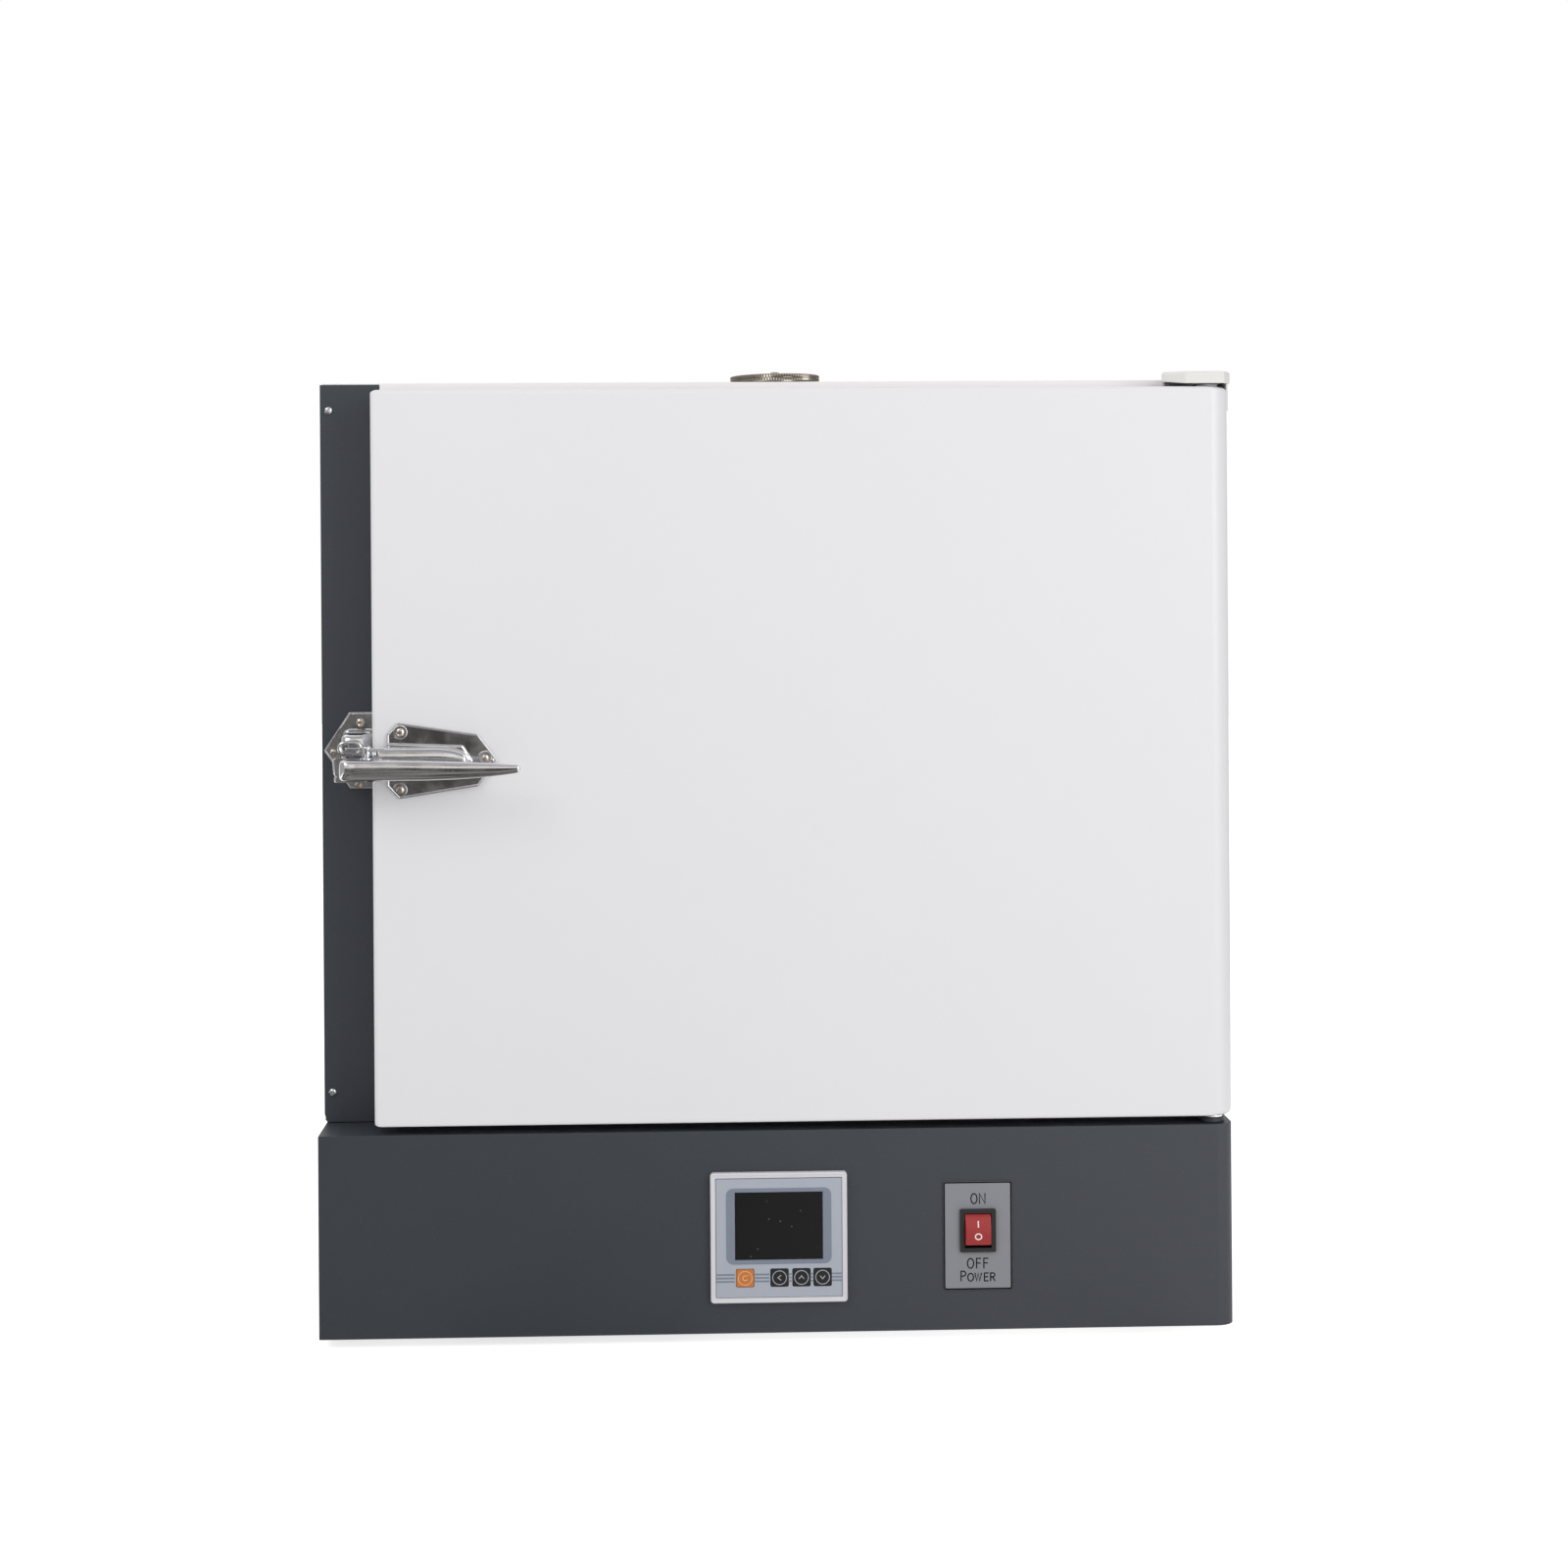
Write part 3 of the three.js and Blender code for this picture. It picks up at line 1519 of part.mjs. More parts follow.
function hingeBracketUpper() {
  const flange = block(
    [hingeArmRadius - hingeFlangeWidth, hingeArmRadius],
    [frameFace - hingeArmThickness, frameFace],
    [upperArmBottom, cabinetHeight - seatGap],
  );
  return join(hingeArm(frameFace, upperArmBottom, upperArmTop), flange);
}

function hingeBracketLower() {
  const foot = block(
    [hingeArmRadius - hingeFlangeWidth, hingeArmRadius],
    [frameFace - hingeLowerReach / 2, frameFace],
    [lowerArmBottom, lowerArmTop],
  );
  return join(hingeArm(frameFace, lowerArmBottom, lowerArmTop), foot);
}

function hingePinUpper() {
  const top = upperArmTop + seatGap;
  return join(
    bar("z", [0, 0], hingePinRadius, doorTop - hingePinBite, top + hingePinHead, pinSides),
    bar("z", [0, 0], hingePinHeadRadius, top, top + hingePinHead, pinSides),
  );
}

// The lower pin carries the door's weight on its collar
function hingePinLower() {
  return join(
    bar("z", [0, 0], hingePinRadius, lowerArmBottom, doorFootGap + hingePinBite, pinSides),
    bar("z", [0, 0], hingeWasherRadius, lowerArmTop + seatGap, doorFootGap - seatGap, pinSides),
  );
}

function hingeWasher() {
  return ring(
    hingeWasherRadius,
    hingePinRadius + runGap,
    doorTop + seatGap,
    upperArmBottom - seatGap,
    pinSides,
  );
}

// The cover's plan, drawn about the hinge axis: a flat front with both of its corners cut back
function coverPlan(inset) {
  const right = doorCornerRadius + seatGap + coverWall - inset;
  const front = -doorCornerRadius + coverSetback + inset;
  const back = frameFace;
  const slope = coverChamferDepth / (coverWidth - coverFlat);
  const left = doorCornerRadius + seatGap + coverWall - coverWidth + inset;
  const flatStart = doorCornerRadius + seatGap + coverWall - coverFlat + inset / 2;
  return outline([
    [right, back],
    [left, back],
    [left, front + slope * (flatStart - left)],
    [flatStart, front],
    [right - coverRightCut, front],
    [right, front + coverRightCutDepth],
  ]);
}

function hingeCover() {
  const bottom = doorTop + coverUnderGap;
  const top = cabinetHeight + coverLift;
  const right = doorCornerRadius + seatGap + coverWall;
  const shell = prism(coverPlan(0), "z", bottom, top);
  const hollow = cut(
    prism(coverPlan(coverWall), "z", bottom - overrun, top - coverRoofWall),
    block([-coverWidth, coverWidth], [frameFace - seatGap, frameFace + overrun], [bottom - overrun, top]),
  );
  const openBack = block(
    [right - coverWidth + coverWall, right - coverWall],
    [frameFace - coverWall * 2, frameFace + overrun],
    [bottom - overrun, cabinetHeight - seatGap],
  );
  const skirt = block(
    [right - coverWall, right],
    [coverSkirtStart - doorCornerRadius, frameFace],
    [doorTop - coverSkirtDrop, bottom + overrun],
  );
  return join(cut(shell, hollow, openBack, coverBevels(top)), skirt);
}

// Slanting cuts that take off the cover's upper edges at the front, left corner and right
function coverBevels(top) {
  const right = doorCornerRadius + seatGap + coverWall;
  const front = -doorCornerRadius + coverSetback;
  const reach = coverWidth * 2;
  const wedge = outline([
    [-overrun, top - coverBevelHeight],
    [0, top - coverBevelHeight],
    [coverBevelWidth, top],
    [coverBevelWidth, top + overrun],
    [-overrun, top + overrun],
  ]);
  const frontCut = prism(wedge, "x", -reach, reach).translate(0, front, 0);
  const rightCut = prism(wedge, "x", -reach, reach).rotateZ(Math.PI / 2).translate(right, 0, 0);
  const leftCut = prism(wedge, "x", -reach, reach).rotateZ(-Math.PI / 2)
    .translate(right - coverWidth, 0, 0);
  const slant = Math.atan2(coverChamferDepth, coverWidth - coverFlat);
  const cornerCut = prism(wedge, "x", -reach, reach).rotateZ(-slant)
    .translate(right - coverFlat, front, 0);
  const rightSlant = Math.atan2(coverRightCutDepth, coverRightCut);
  const rightCornerCut = prism(wedge, "x", -reach, reach).rotateZ(rightSlant)
    .translate(right - coverRightCut, front, 0);
  return join(frontCut, rightCut, leftCut, cornerCut, rightCornerCut);
}

piece("hinge_bracket_upper", hingeBracketUpper(), galvanised, hinge);
piece("hinge_bracket_lower", hingeBracketLower(), galvanised, hinge);
piece("hinge_pin_upper", hingePinUpper(), chrome, hinge);
piece("hinge_pin_lower", hingePinLower(), chrome, hinge);
piece("hinge_washer", hingeWasher(), palePlastic, hinge);
piece("hinge_cover", hingeCover(), warmPlastic, hinge);

// Door: its own frame is on the hinge axis, at the door's lower edge
const door = groupAt(hingeX, doorCornerRadius, baseTop + doorFootGap, assembly);
const doorFront = -doorCornerRadius;
const doorBack = doorThickness - doorCornerRadius;

function doorPlan(inset, back) {
  const front = doorFront + inset;
  const left = doorLeftLocal + inset;
  const right = doorCornerRadius - inset;
  const leftRadius = Math.max(doorLeftRadius - inset, inset / 2);
  const rightRadius = doorCornerRadius - inset;
  const shape = new THREE.Shape();
  shape.moveTo(right, back);
  shape.lineTo(left, back);
  shape.absarc(left + leftRadius, front + leftRadius, leftRadius, Math.PI, Math.PI * 3 / 2);
  shape.absarc(right - rightRadius, front + rightRadius, rightRadius, -Math.PI / 2, 0);
  shape.closePath();
  return shape;
}

// The door's outer form, set in by an even amount, with its front edges and corners rounded
function doorForm(inset, back) {
  const radius = doorEdgeRadius - inset;
  const front = doorFront + inset;
  const top = doorHeight - inset;
  const side = new THREE.Shape();
  side.moveTo(back, top);
  side.lineTo(back, inset);
  side.absarc(front + radius, inset + radius, radius, Math.PI * 3 / 2, Math.PI, true);
  side.absarc(front + radius, top - radius, radius, Math.PI, Math.PI / 2, true);
  side.closePath();
  const width = doorCornerRadius - doorLeftLocal;
  const face = roundedRectangle(
    width - 2 * inset,
    doorHeight - 2 * inset,
    radius,
    doorCornerRadius - width / 2,
    doorHeight / 2,
  );
  const body = common(
    prism(doorPlan(inset, back), "z", inset, top),
    prism(side, "x", doorLeftLocal, doorCornerRadius),
  );
  return common(body, prism(face, "y", front, back));
}

// The skin is a folded tray with lips round its open back and a boss for each hinge pin
function doorShell() {
  const lipOpening = block(
    [doorLeftLocal + doorLip, doorCornerRadius - doorLip],
    [doorBack - sheet - overrun, doorBack + overrun],
    [doorLip, doorHeight - doorLip],
  );
  const tray = cut(
    doorForm(0, doorBack),
    doorForm(sheet, doorBack - sheet),
    lipOpening,
  );
  const bosses = [[0, hingeBossDepth], [doorHeight - hingeBossDepth, doorHeight]]
    .map(([low, high]) => bar("z", [0, 0], hingeBossRadius, low, high, pinSides));
  const boreDepth = hingePinBite + overrun;
  const bores = [[-overrun, boreDepth], [doorHeight - boreDepth, doorHeight + overrun]]
    .map(([low, high]) => bar("z", [0, 0], hingePinRadius + runGap, low, high, pinSides));
  return cut(join(tray, ...bosses), ...bores);
}

// The plug is drawn about the chamber's middle, seen from the door's frame
const plugX = -hingeX;
const plugZ = chamberFloorHeight + chamberHeight / 2 - doorFootGap;
const plugRear = recess + plugDepth - doorCornerRadius;

function plugBlock(inset, front, rear) {
  const halfWidth = halfChamber - plugClearance - inset;
  const halfHeight = chamberHeight / 2 - plugClearance - inset;
  return block(
    [plugX - halfWidth, plugX + halfWidth],
    [front, rear],
    [plugZ - halfHeight, plugZ + halfHeight],
  );
}

function doorInnerPanel() {
  const pan = block(
    [doorLeftLocal + doorLip + seatGap, doorCornerRadius - doorLip - seatGap],
    [doorBack - sheet, doorBack],
    [doorLip + seatGap, doorHeight - doorLip - seatGap],
  );
  return cut(
    join(pan, plugBlock(0, doorBack - sheet, plugRear)),
    plugBlock(plugSheet, doorBack - sheet - overrun, plugRear - plugSheet),
  );
}

function doorInsulation() {
  const clear = hingeBossRadius + seatGap;
  const slab = common(
    doorForm(sheet + seatGap, doorBack - sheet - seatGap),
    block([doorLeftLocal, -clear], [doorFront, doorBack], [0, doorHeight]),
  );
  const plugFill = plugBlock(
    plugSheet + seatGap,
    doorBack - sheet - overrun,
    plugRear - plugSheet - seatGap,
  );
  return join(slab, plugFill);
}

piece("door_shell", doorShell(), whiteCoat, door);
piece("door_inner_panel", doorInnerPanel(), stainless, door);
piece("door_insulation", doorInsulation(), wool, door);

// Latch: its own frame is on the lever's pin, at the middle of the latch plate
const latchZ = doorHeight / 2 - latchDrop;
const latch = groupAt(
  doorLeftLocal - latchPinOverhang,
  doorFront - latchPinForward,
  latchZ,
  door,
);
const plateSeat = latchPinForward - seatGap;
const domeFront = latchPinForward - latchDomeHeight;

function latchBase() {
  const plate = prism(
    outline([
      [latchPlateNear, -latchPlateNearHalf],
      [latchPlateShoulder, -latchPlateShoulderHalf],
      [latchPlateFar, -latchPlateFarHalf],
      [latchPlateTip, 0],
      [latchPlateFar, latchPlateFarHalf],
      [latchPlateShoulder, latchPlateShoulderHalf],
      [latchPlateNear, latchPlateNearHalf],
    ]),
    "y",
    plateSeat - latchPlateThickness,
    plateSeat,
  );
  const inset = latchDomeBevel;
  const domeShape = outline([
    [latchDomeStart + inset, inset - latchDomeHalf],
    [latchDomeFar, inset - latchDomeFarHalf],
    [latchDomeTip - inset, 0],
    [latchDomeFar, latchDomeFarHalf - inset],
    [latchDomeStart + inset, latchDomeHalf - inset],
  ]);
  const dome = cut(
    prism(domeShape, "y", domeFront + inset, plateSeat + inset, {
      bevelEnabled: true,
      bevelThickness: inset,
      bevelSize: inset,
      bevelSegments: 3,
    }),
    block([-latchPlateTip, latchPlateTip], [plateSeat, latchPlateTip], [-latchPlateTip, latchPlateTip]),
  );
  const ears = [
    [latchEarTop - latchEarThickness * 2, latchEarTop],
    [latchEarLow, latchEarLow + latchEarThickness],
  ].map(([low, high]) => latchEar(low, high));
  const pinHole = bar("z", [0, 0], latchPinRadius + runGap, latchEarLow - overrun, latchEarTop + overrun);
  return cut(join(plate, dome, ...ears), pinHole);
}

function latchEar(low, high) {
  const reach = latchDomeStart + latchDomeBevel + overrun;
  const shape = new THREE.Shape();
  shape.moveTo(reach, -latchEarRadius);
  shape.lineTo(reach, latchEarRadius);
  shape.absarc(0, 0, latchEarRadius, Math.PI / 2, Math.PI * 3 / 2);
  shape.closePath();
  return prism(shape, "z", low, high);
}

function latchPin() {
  return bar("z", [0, 0], latchPinRadius, latchEarLow, latchEarTop, smallSides);
}

// The lever is what its plan and its front outline have in common
function latchLever() {
  const plan = new THREE.Shape();
  plan.moveTo(-leverHubRadius, 0);
  plan.lineTo(-leverHubRadius, -leverBack);
  plan.lineTo(-leverEndInner, -leverBack);
  plan.lineTo(-leverEndInner, -leverBack + leverCornerRadius);
  plan.lineTo(-leverLeft + leverCornerRadius / 3, -leverBack + leverCornerRadius);
  plan.lineTo(-leverLeft, -leverBack + leverCornerRadius / 2);
  plan.lineTo(-leverLeft, -leverFront + leverCornerRadius);
  plan.quadraticCurveTo(-leverLeft, -leverFront, -leverLeft + leverCornerRadius, -leverFront);
  plan.lineTo(leverBellyStart, -(leverFront + leverTipFront) / 2);
  plan.lineTo(leverTip - overrun, -leverTipFront);
  plan.lineTo(leverTip, -leverTipFront + overrun / 2);
  plan.lineTo(leverTip, -leverTipBack);
  plan.lineTo(leverBellyEnd, -(leverBack + leverTipBack) / 2);
  plan.lineTo(leverHubRadius * 2, -leverBack);
  plan.lineTo(leverHubRadius, -leverHubRadius);
  plan.lineTo(leverHubRadius, 0);
  plan.closePath();
  const front = new THREE.Shape();
  front.moveTo(-leverLeft - overrun, leverBottom);
  front.lineTo(leverBellyStart, leverBottom - seatGap);
  front.quadraticCurveTo(leverBellyEnd, leverBottom + leverBellyRise / 2, leverTip - overrun, leverTipBottom);
  front.lineTo(leverTip, leverTipBottom + overrun / 2);
  front.lineTo(leverTip, leverTipTop - overrun / 2);
  front.lineTo(leverTip - overrun, leverTipTop);
  front.lineTo(-leverLeft - overrun, leverTop);
  front.closePath();
  const body = common(
    prism(plan, "z", leverBottom - overrun, leverTop + overrun),
    prism(front, "y", -leverTipFront - overrun, leverHubRadius + overrun),
  );
  const hub = bar("z", [0, 0], leverHubRadius, leverBottom, leverTop, roundSides);
  const pinHole = bar("z", [0, 0], latchPinRadius + runGap, leverBottom - overrun, leverTop + overrun);
  return cut(join(body, hub), pinHole);
}

// The hook is a bent strap riveted behind the lever's short end
function latchHook() {
  const root = -leverBack + hookGap + leverCornerRadius;
  const shape = outline([
    [-leverHubRadius - hookGap, root],
    [-leverHubRadius - hookGap, root + hookThickness],
    [hookThickness - hookReach + hookRoot, root + hookThickness],
    [hookThickness - hookReach, root + hookThickness + hookRoot],
    [hookThickness - hookReach, hookDepth],
    [-hookReach, hookDepth],
    [-hookReach, root + hookRoot],
    [-hookReach + hookRoot, root],
  ]);
  return prism(shape, "z", hookBottom, leverTop);
}

piece("latch_base", latchBase(), chrome, latch);
piece("latch_pin", latchPin(), chrome, latch);
piece("latch_lever", latchLever(), chrome, latch);
piece("latch_hook", latchHook(), chrome, latch);

// Keeper on the column, drawn in the latch's height and about the door's left edge
const keeper = groupAt(hingeX + doorLeftLocal, 0, doorFootGap + latchZ, cabinet);

function latchKeeper() {
  const left = leftFace + keeperLeftInset - (hingeX + doorLeftLocal);
  const right = keeperRight;
  const half = keeperHeight / 2;
  const back = -seatGap;
  const plate = prism(
    outline([
      [left, keeperRise],
      [left + keeperPoint, keeperRise - half],
      [right, keeperRise - half],
      [right, keeperRise + half],
      [left + keeperPoint, keeperRise + half],
    ]),
    "y",
    back - keeperThickness,
    back,
  );
  const bridgeRight = -keeperEdgeGap;
  const bridgeLeft = bridgeRight - keeperBridgeWidth;
  const bridgeFront = back - keeperBridgeHeight;
  const slope = keeperBridgeSlope;
  const bridge = prism(
    outline([
      [bridgeLeft, -keeperBridgeBottom + slope],
      [bridgeLeft + slope, -keeperBridgeBottom],
      [bridgeRight, -keeperBridgeBottom],
      [bridgeRight, keeperBridgeTop],
      [bridgeLeft + slope, keeperBridgeTop],
      [bridgeLeft, keeperBridgeTop - slope],
    ]),
    "y",
    bridgeFront,
    back,
  );
  const loopRight = -keeperLoopRight - latchPinOverhang;
  const loopLeft = loopRight - keeperLoopWidth;
  const loopFront = -recess - keeperLoopFront + latchPinForward;
  const loopMiddle = keeperLoopBottom + keeperLoopHeight / 2;
  const loopCentre = (loopLeft + loopRight) / 2;
  const loop = prism(
    roundedRectangle(keeperLoopWidth, keeperLoopHeight, keeperLoopHeight / 3, loopCentre, loopMiddle),
    "y",
    loopFront,
    loopFront + keeperLoopThickness,
  );
  const neckHalf = keeperNeckWidth / 2;
  const neck = block(
    [loopCentre - neckHalf, loopCentre + neckHalf],
    [loopFront + keeperLoopThickness / 2, bridgeFront + overrun],
    [keeperLoopBottom + keeperSlotHeight, keeperLoopBottom + keeperLoopHeight - keeperSlotHeight / 2],
  );
  const slot = prism(
    roundedRectangle(keeperSlotWidth, keeperSlotHeight, keeperSlotHeight / 3, loopCentre, loopMiddle),
    "y",
    loopFront - overrun,
    loopFront + keeperLoopThickness / 2,
    { curveSegments: cornerSteps },
  );
  return cut(join(plate, bridge, loop, neck), slot);
}

piece("latch_keeper", latchKeeper(), chrome, keeper);

// Centre the whole on its box, standing on z = 0
assembly.updateMatrixWorld(true);
const extent = new THREE.Box3().setFromObject(assembly, true);
assembly.position.set(
  -(extent.min.x + extent.max.x) / 2,
  -(extent.min.y + extent.max.y) / 2,
  -extent.min.z,
);

const part = new THREE.Group();
part.add(assembly);
export default part;
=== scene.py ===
import json
import math
import bmesh
import bpy
from mathutils import Matrix, Vector
from mathutils.bvhtree import BVHTree

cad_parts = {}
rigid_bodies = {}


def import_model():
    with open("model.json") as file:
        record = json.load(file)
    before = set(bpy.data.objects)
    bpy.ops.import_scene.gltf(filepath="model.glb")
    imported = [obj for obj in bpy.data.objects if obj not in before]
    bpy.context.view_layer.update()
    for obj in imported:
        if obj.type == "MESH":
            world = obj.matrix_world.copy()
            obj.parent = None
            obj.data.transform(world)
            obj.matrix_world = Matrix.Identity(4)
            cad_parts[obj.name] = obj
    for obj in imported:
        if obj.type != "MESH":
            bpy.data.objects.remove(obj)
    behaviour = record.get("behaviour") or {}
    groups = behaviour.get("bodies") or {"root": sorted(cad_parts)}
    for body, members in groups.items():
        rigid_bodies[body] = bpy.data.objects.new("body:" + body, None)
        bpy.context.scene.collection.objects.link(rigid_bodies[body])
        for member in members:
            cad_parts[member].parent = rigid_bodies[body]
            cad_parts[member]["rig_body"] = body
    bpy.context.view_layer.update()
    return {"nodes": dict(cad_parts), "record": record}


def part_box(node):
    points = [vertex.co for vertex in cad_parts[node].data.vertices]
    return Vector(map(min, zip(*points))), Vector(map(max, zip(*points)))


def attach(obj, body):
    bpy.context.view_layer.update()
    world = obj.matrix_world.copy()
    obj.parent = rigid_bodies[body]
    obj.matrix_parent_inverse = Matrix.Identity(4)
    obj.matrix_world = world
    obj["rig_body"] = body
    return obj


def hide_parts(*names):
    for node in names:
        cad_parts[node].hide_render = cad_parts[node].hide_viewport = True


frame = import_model()
nodes = frame["nodes"]
slots = {entry["node"]: entry["material_slot"] for entry in frame["record"]["subparts"]}
mm = 0.001

baseLow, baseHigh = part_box("base_housing")
origin = Vector(((baseLow.x + baseHigh.x) / 2, baseLow.y, 0))  # middle of the base front, at the floor
print("frame loaded")


def at(x, y, z):
    # a point in millimetres from the middle of the base front
    return origin + Vector((x, y, z)) * mm


def addObject(name, data):
    item = bpy.data.objects.new(name, data)
    bpy.context.scene.collection.objects.link(item)
    return item


# Camera, matched to the photograph
view = {
    "x": -72.3, "distance": 2100, "height": 543.1, "yaw": 2.148, "roll": 0.394,
    "focalPixels": 3014.1, "horizonRow": 590.9, "imageSize": 1600, "sensor": 36, "farthest": 40,
}
cameraData = bpy.data.cameras.new("camera")
cameraData.sensor_width = view["sensor"]
cameraData.lens = view["focalPixels"] * view["sensor"] / view["imageSize"]
cameraData.shift_y = (view["horizonRow"] - view["imageSize"] / 2) / view["imageSize"]
cameraData.clip_end = view["farthest"]
cameraObject = addObject("camera", cameraData)
cameraObject.matrix_world = (
    Matrix.Translation(at(view["x"], -view["distance"], view["height"]))
    @ Matrix.Rotation(math.radians(-view["yaw"]), 4, "Z")
    @ Matrix.Rotation(math.radians(90), 4, "X")
    @ Matrix.Rotation(math.radians(-view["roll"]), 4, "Z")
)
bpy.context.scene.camera = cameraObject
bpy.context.scene.view_settings.view_transform = "Standard"
print("camera placed")


# Shader nodes
def feed(tree, socket, value):
    # another node's socket is linked, and anything else is a fixed value
    if isinstance(value, bpy.types.NodeSocket):
        tree.links.new(value, socket)
    else:
        socket.default_value = value


def addNode(tree, kind, inputs, **settings):
    node = tree.nodes.new("ShaderNode" + kind)
    for name, value in settings.items():
        setattr(node, name, value)
    for name, value in inputs.items():
        feed(tree, node.inputs[name], value)
    return node


def mathNode(tree, operation, first, second):
    return addNode(tree, "Math", {0: first, 1: second}, operation=operation).outputs[0]


def objectPlace(tree):
    return addNode(tree, "TexCoord", {}).outputs["Object"]


def stretchedPlace(tree, stretch):
    return addNode(tree, "VectorMath", {0: objectPlace(tree), 1: stretch}, operation="MULTIPLY").outputs[0]


def noiseNode(tree, place, scale, detail=2.0):
    return addNode(tree, "TexNoise", {"Vector": place, "Scale": scale, "Detail": detail}).outputs["Fac"]


def spreadNode(tree, value, span, **settings):
    # span gives the two values read from and the two given back
    bounds = dict(zip(("From Min", "From Max", "To Min", "To Max"), span))
    return addNode(tree, "MapRange", {"Value": value, **bounds}, **settings).outputs[0]


def mixColours(tree, mask, first, second):
    return addNode(tree, "Mix", {"Factor": mask, 6: first, 7: second}, data_type="RGBA").outputs[2]


def bumpNode(tree, height, strength, depth):
    return addNode(tree, "Bump", {"Height": height, "Strength": strength, "Distance": depth * mm}).outputs[0]


def makeGroup(name, inputs, outputs):
    # inputs give each socket's kind and value, outputs each socket's kind
    tree = bpy.data.node_groups.new(name, "ShaderNodeTree")
    for label, (kind, value) in inputs.items():
        socket = tree.interface.new_socket(name=label, in_out="INPUT", socket_type="NodeSocket" + kind)
        socket.default_value = value
    for label, kind in outputs.items():
        tree.interface.new_socket(name=label, in_out="OUTPUT", socket_type="NodeSocket" + kind)
    return tree, tree.nodes.new("NodeGroupInput").outputs, tree.nodes.new("NodeGroupOutput").inputs


def buildPeelGroup():
    # the fine orange peel of powder coat and moulded plastic
    tree, given, result = makeGroup(
        "coatPeel", {"Scale": ("Float", 600.0), "Fine Share": ("Float", 0.3)}, {"Height": "Float"})
    place = objectPlace(tree)
    fine = noiseNode(tree, place, mathNode(tree, "MULTIPLY", given["Scale"], 3.1))
    fine = mathNode(tree, "MULTIPLY", fine, given["Fine Share"])
    feed(tree, result["Height"], mathNode(tree, "ADD", noiseNode(tree, place, given["Scale"]), fine))
    return tree


def buildToneGroup():
    # slow drift of a finish's brightness
    tree, given, result = makeGroup(
        "toneDrift",
        {"Colour": ("Color", (1, 1, 1, 1)), "Scale": ("Float", 9.0), "Amount": ("Float", 0.05)},
        {"Colour": "Color"})
    drift = mathNode(tree, "SUBTRACT", noiseNode(tree, objectPlace(tree), given["Scale"], 4.0), 0.5)
    drift = mathNode(tree, "MULTIPLY", drift, given["Amount"])
    value = mathNode(tree, "ADD", drift, 1.0)
    shade = addNode(tree, "HueSaturation", {"Color": given["Colour"], "Value": value})
    feed(tree, result["Colour"], shade.outputs["Color"])
    return tree


def buildSpeckGroup():
    # scattered dots, such as texture flecks or dust
    tree, given, result = makeGroup(
        "flecks",
        {"Scale": ("Float", 300.0), "Share": ("Float", 0.05), "Size": ("Float", 0.2)},
        {"Mask": "Float"})
    cells = addNode(tree, "TexVoronoi", {"Vector": objectPlace(tree), "Scale": given["Scale"]}).outputs
    split = addNode(tree, "SeparateColor", {"Color": cells["Color"]})
    chosen = mathNode(tree, "LESS_THAN", split.outputs[0], given["Share"])
    near = mathNode(tree, "LESS_THAN", cells["Distance"], given["Size"])
    feed(tree, result["Mask"], mathNode(tree, "MULTIPLY", chosen, near))
    return tree


def buildGrainGroup():
    # long fine lines, drawn out along one axis by the Stretch vector
    tree, given, result = makeGroup(
        "brushedGrain",
        {"Stretch": ("Vector", (1.0, 1.0, 1.0)), "Scale": ("Float", 900.0),
         "Low": ("Float", 0.25), "High": ("Float", 0.45)},
        {"Height": "Float", "Roughness": "Float"})
    lines = noiseNode(tree, stretchedPlace(tree, given["Stretch"]), given["Scale"], 3.0)
    feed(tree, result["Height"], lines)
    feed(tree, result["Roughness"], spreadNode(tree, lines, (0.3, 0.7, given["Low"], given["High"])))
    return tree


def buildSmudgeGroup():
    # handling marks that blur a polish here and there
    tree, given, result = makeGroup(
        "smudges",
        {"Scale": ("Float", 40.0), "Low": ("Float", 0.08), "High": ("Float", 0.22)},
        {"Roughness": "Float", "Height": "Float"})
    cloud = noiseNode(tree, objectPlace(tree), given["Scale"], 5.0)
    feed(tree, result["Height"], cloud)
    feed(tree, result["Roughness"], spreadNode(tree, cloud, (0.4, 0.7, given["Low"], given["High"])))
    return tree


peelGroup = buildPeelGroup()
toneGroup = buildToneGroup()
speckGroup = buildSpeckGroup()
grainGroup = buildGrainGroup()
smudgeGroup = buildSmudgeGroup()


# Materials
def colour(red, green, blue):
    def channel(value):
        value /= 255
        return value / 12.92 if value <= 0.04045 else ((value + 0.055) / 1.055) ** 2.4
    return (channel(red), channel(green), channel(blue), 1)


def startMaterial(name):
    material = bpy.data.materials.new(name)
    material.use_nodes = True
    return material, material.node_tree


def setShader(tree, **values):
    for label, value in values.items():
        feed(tree, tree.nodes["Principled BSDF"].inputs[label.replace("_", " ")], value)


def placeGroup(tree, group, **values):
    inputs = {label.replace("_", " "): value for label, value in values.items()}
    return addNode(tree, "Group", inputs, node_tree=group).outputs


def coatMaterial(name, tone, drift, driftScale, peelScale, peelDepth, roughness,
                 fleck=None, coat=0.0, specular=0.5):
    material, tree = startMaterial(name)
    finish = placeGroup(tree, toneGroup, Colour=colour(*tone), Scale=driftScale, Amount=drift)["Colour"]
    if fleck:
        fleckTone, share, scale = fleck
        mask = placeGroup(tree, speckGroup, Scale=scale, Share=share, Size=0.35)["Mask"]
        finish = mixColours(tree, mask, finish, colour(*fleckTone))
    peel = placeGroup(tree, peelGroup, Scale=peelScale)["Height"]
    setShader(tree, Base_Color=finish, Normal=bumpNode(tree, peel, 0.35, peelDepth), Roughness=roughness,
              Specular_IOR_Level=specular, Coat_Weight=coat, Coat_Roughness=0.15)
    return material


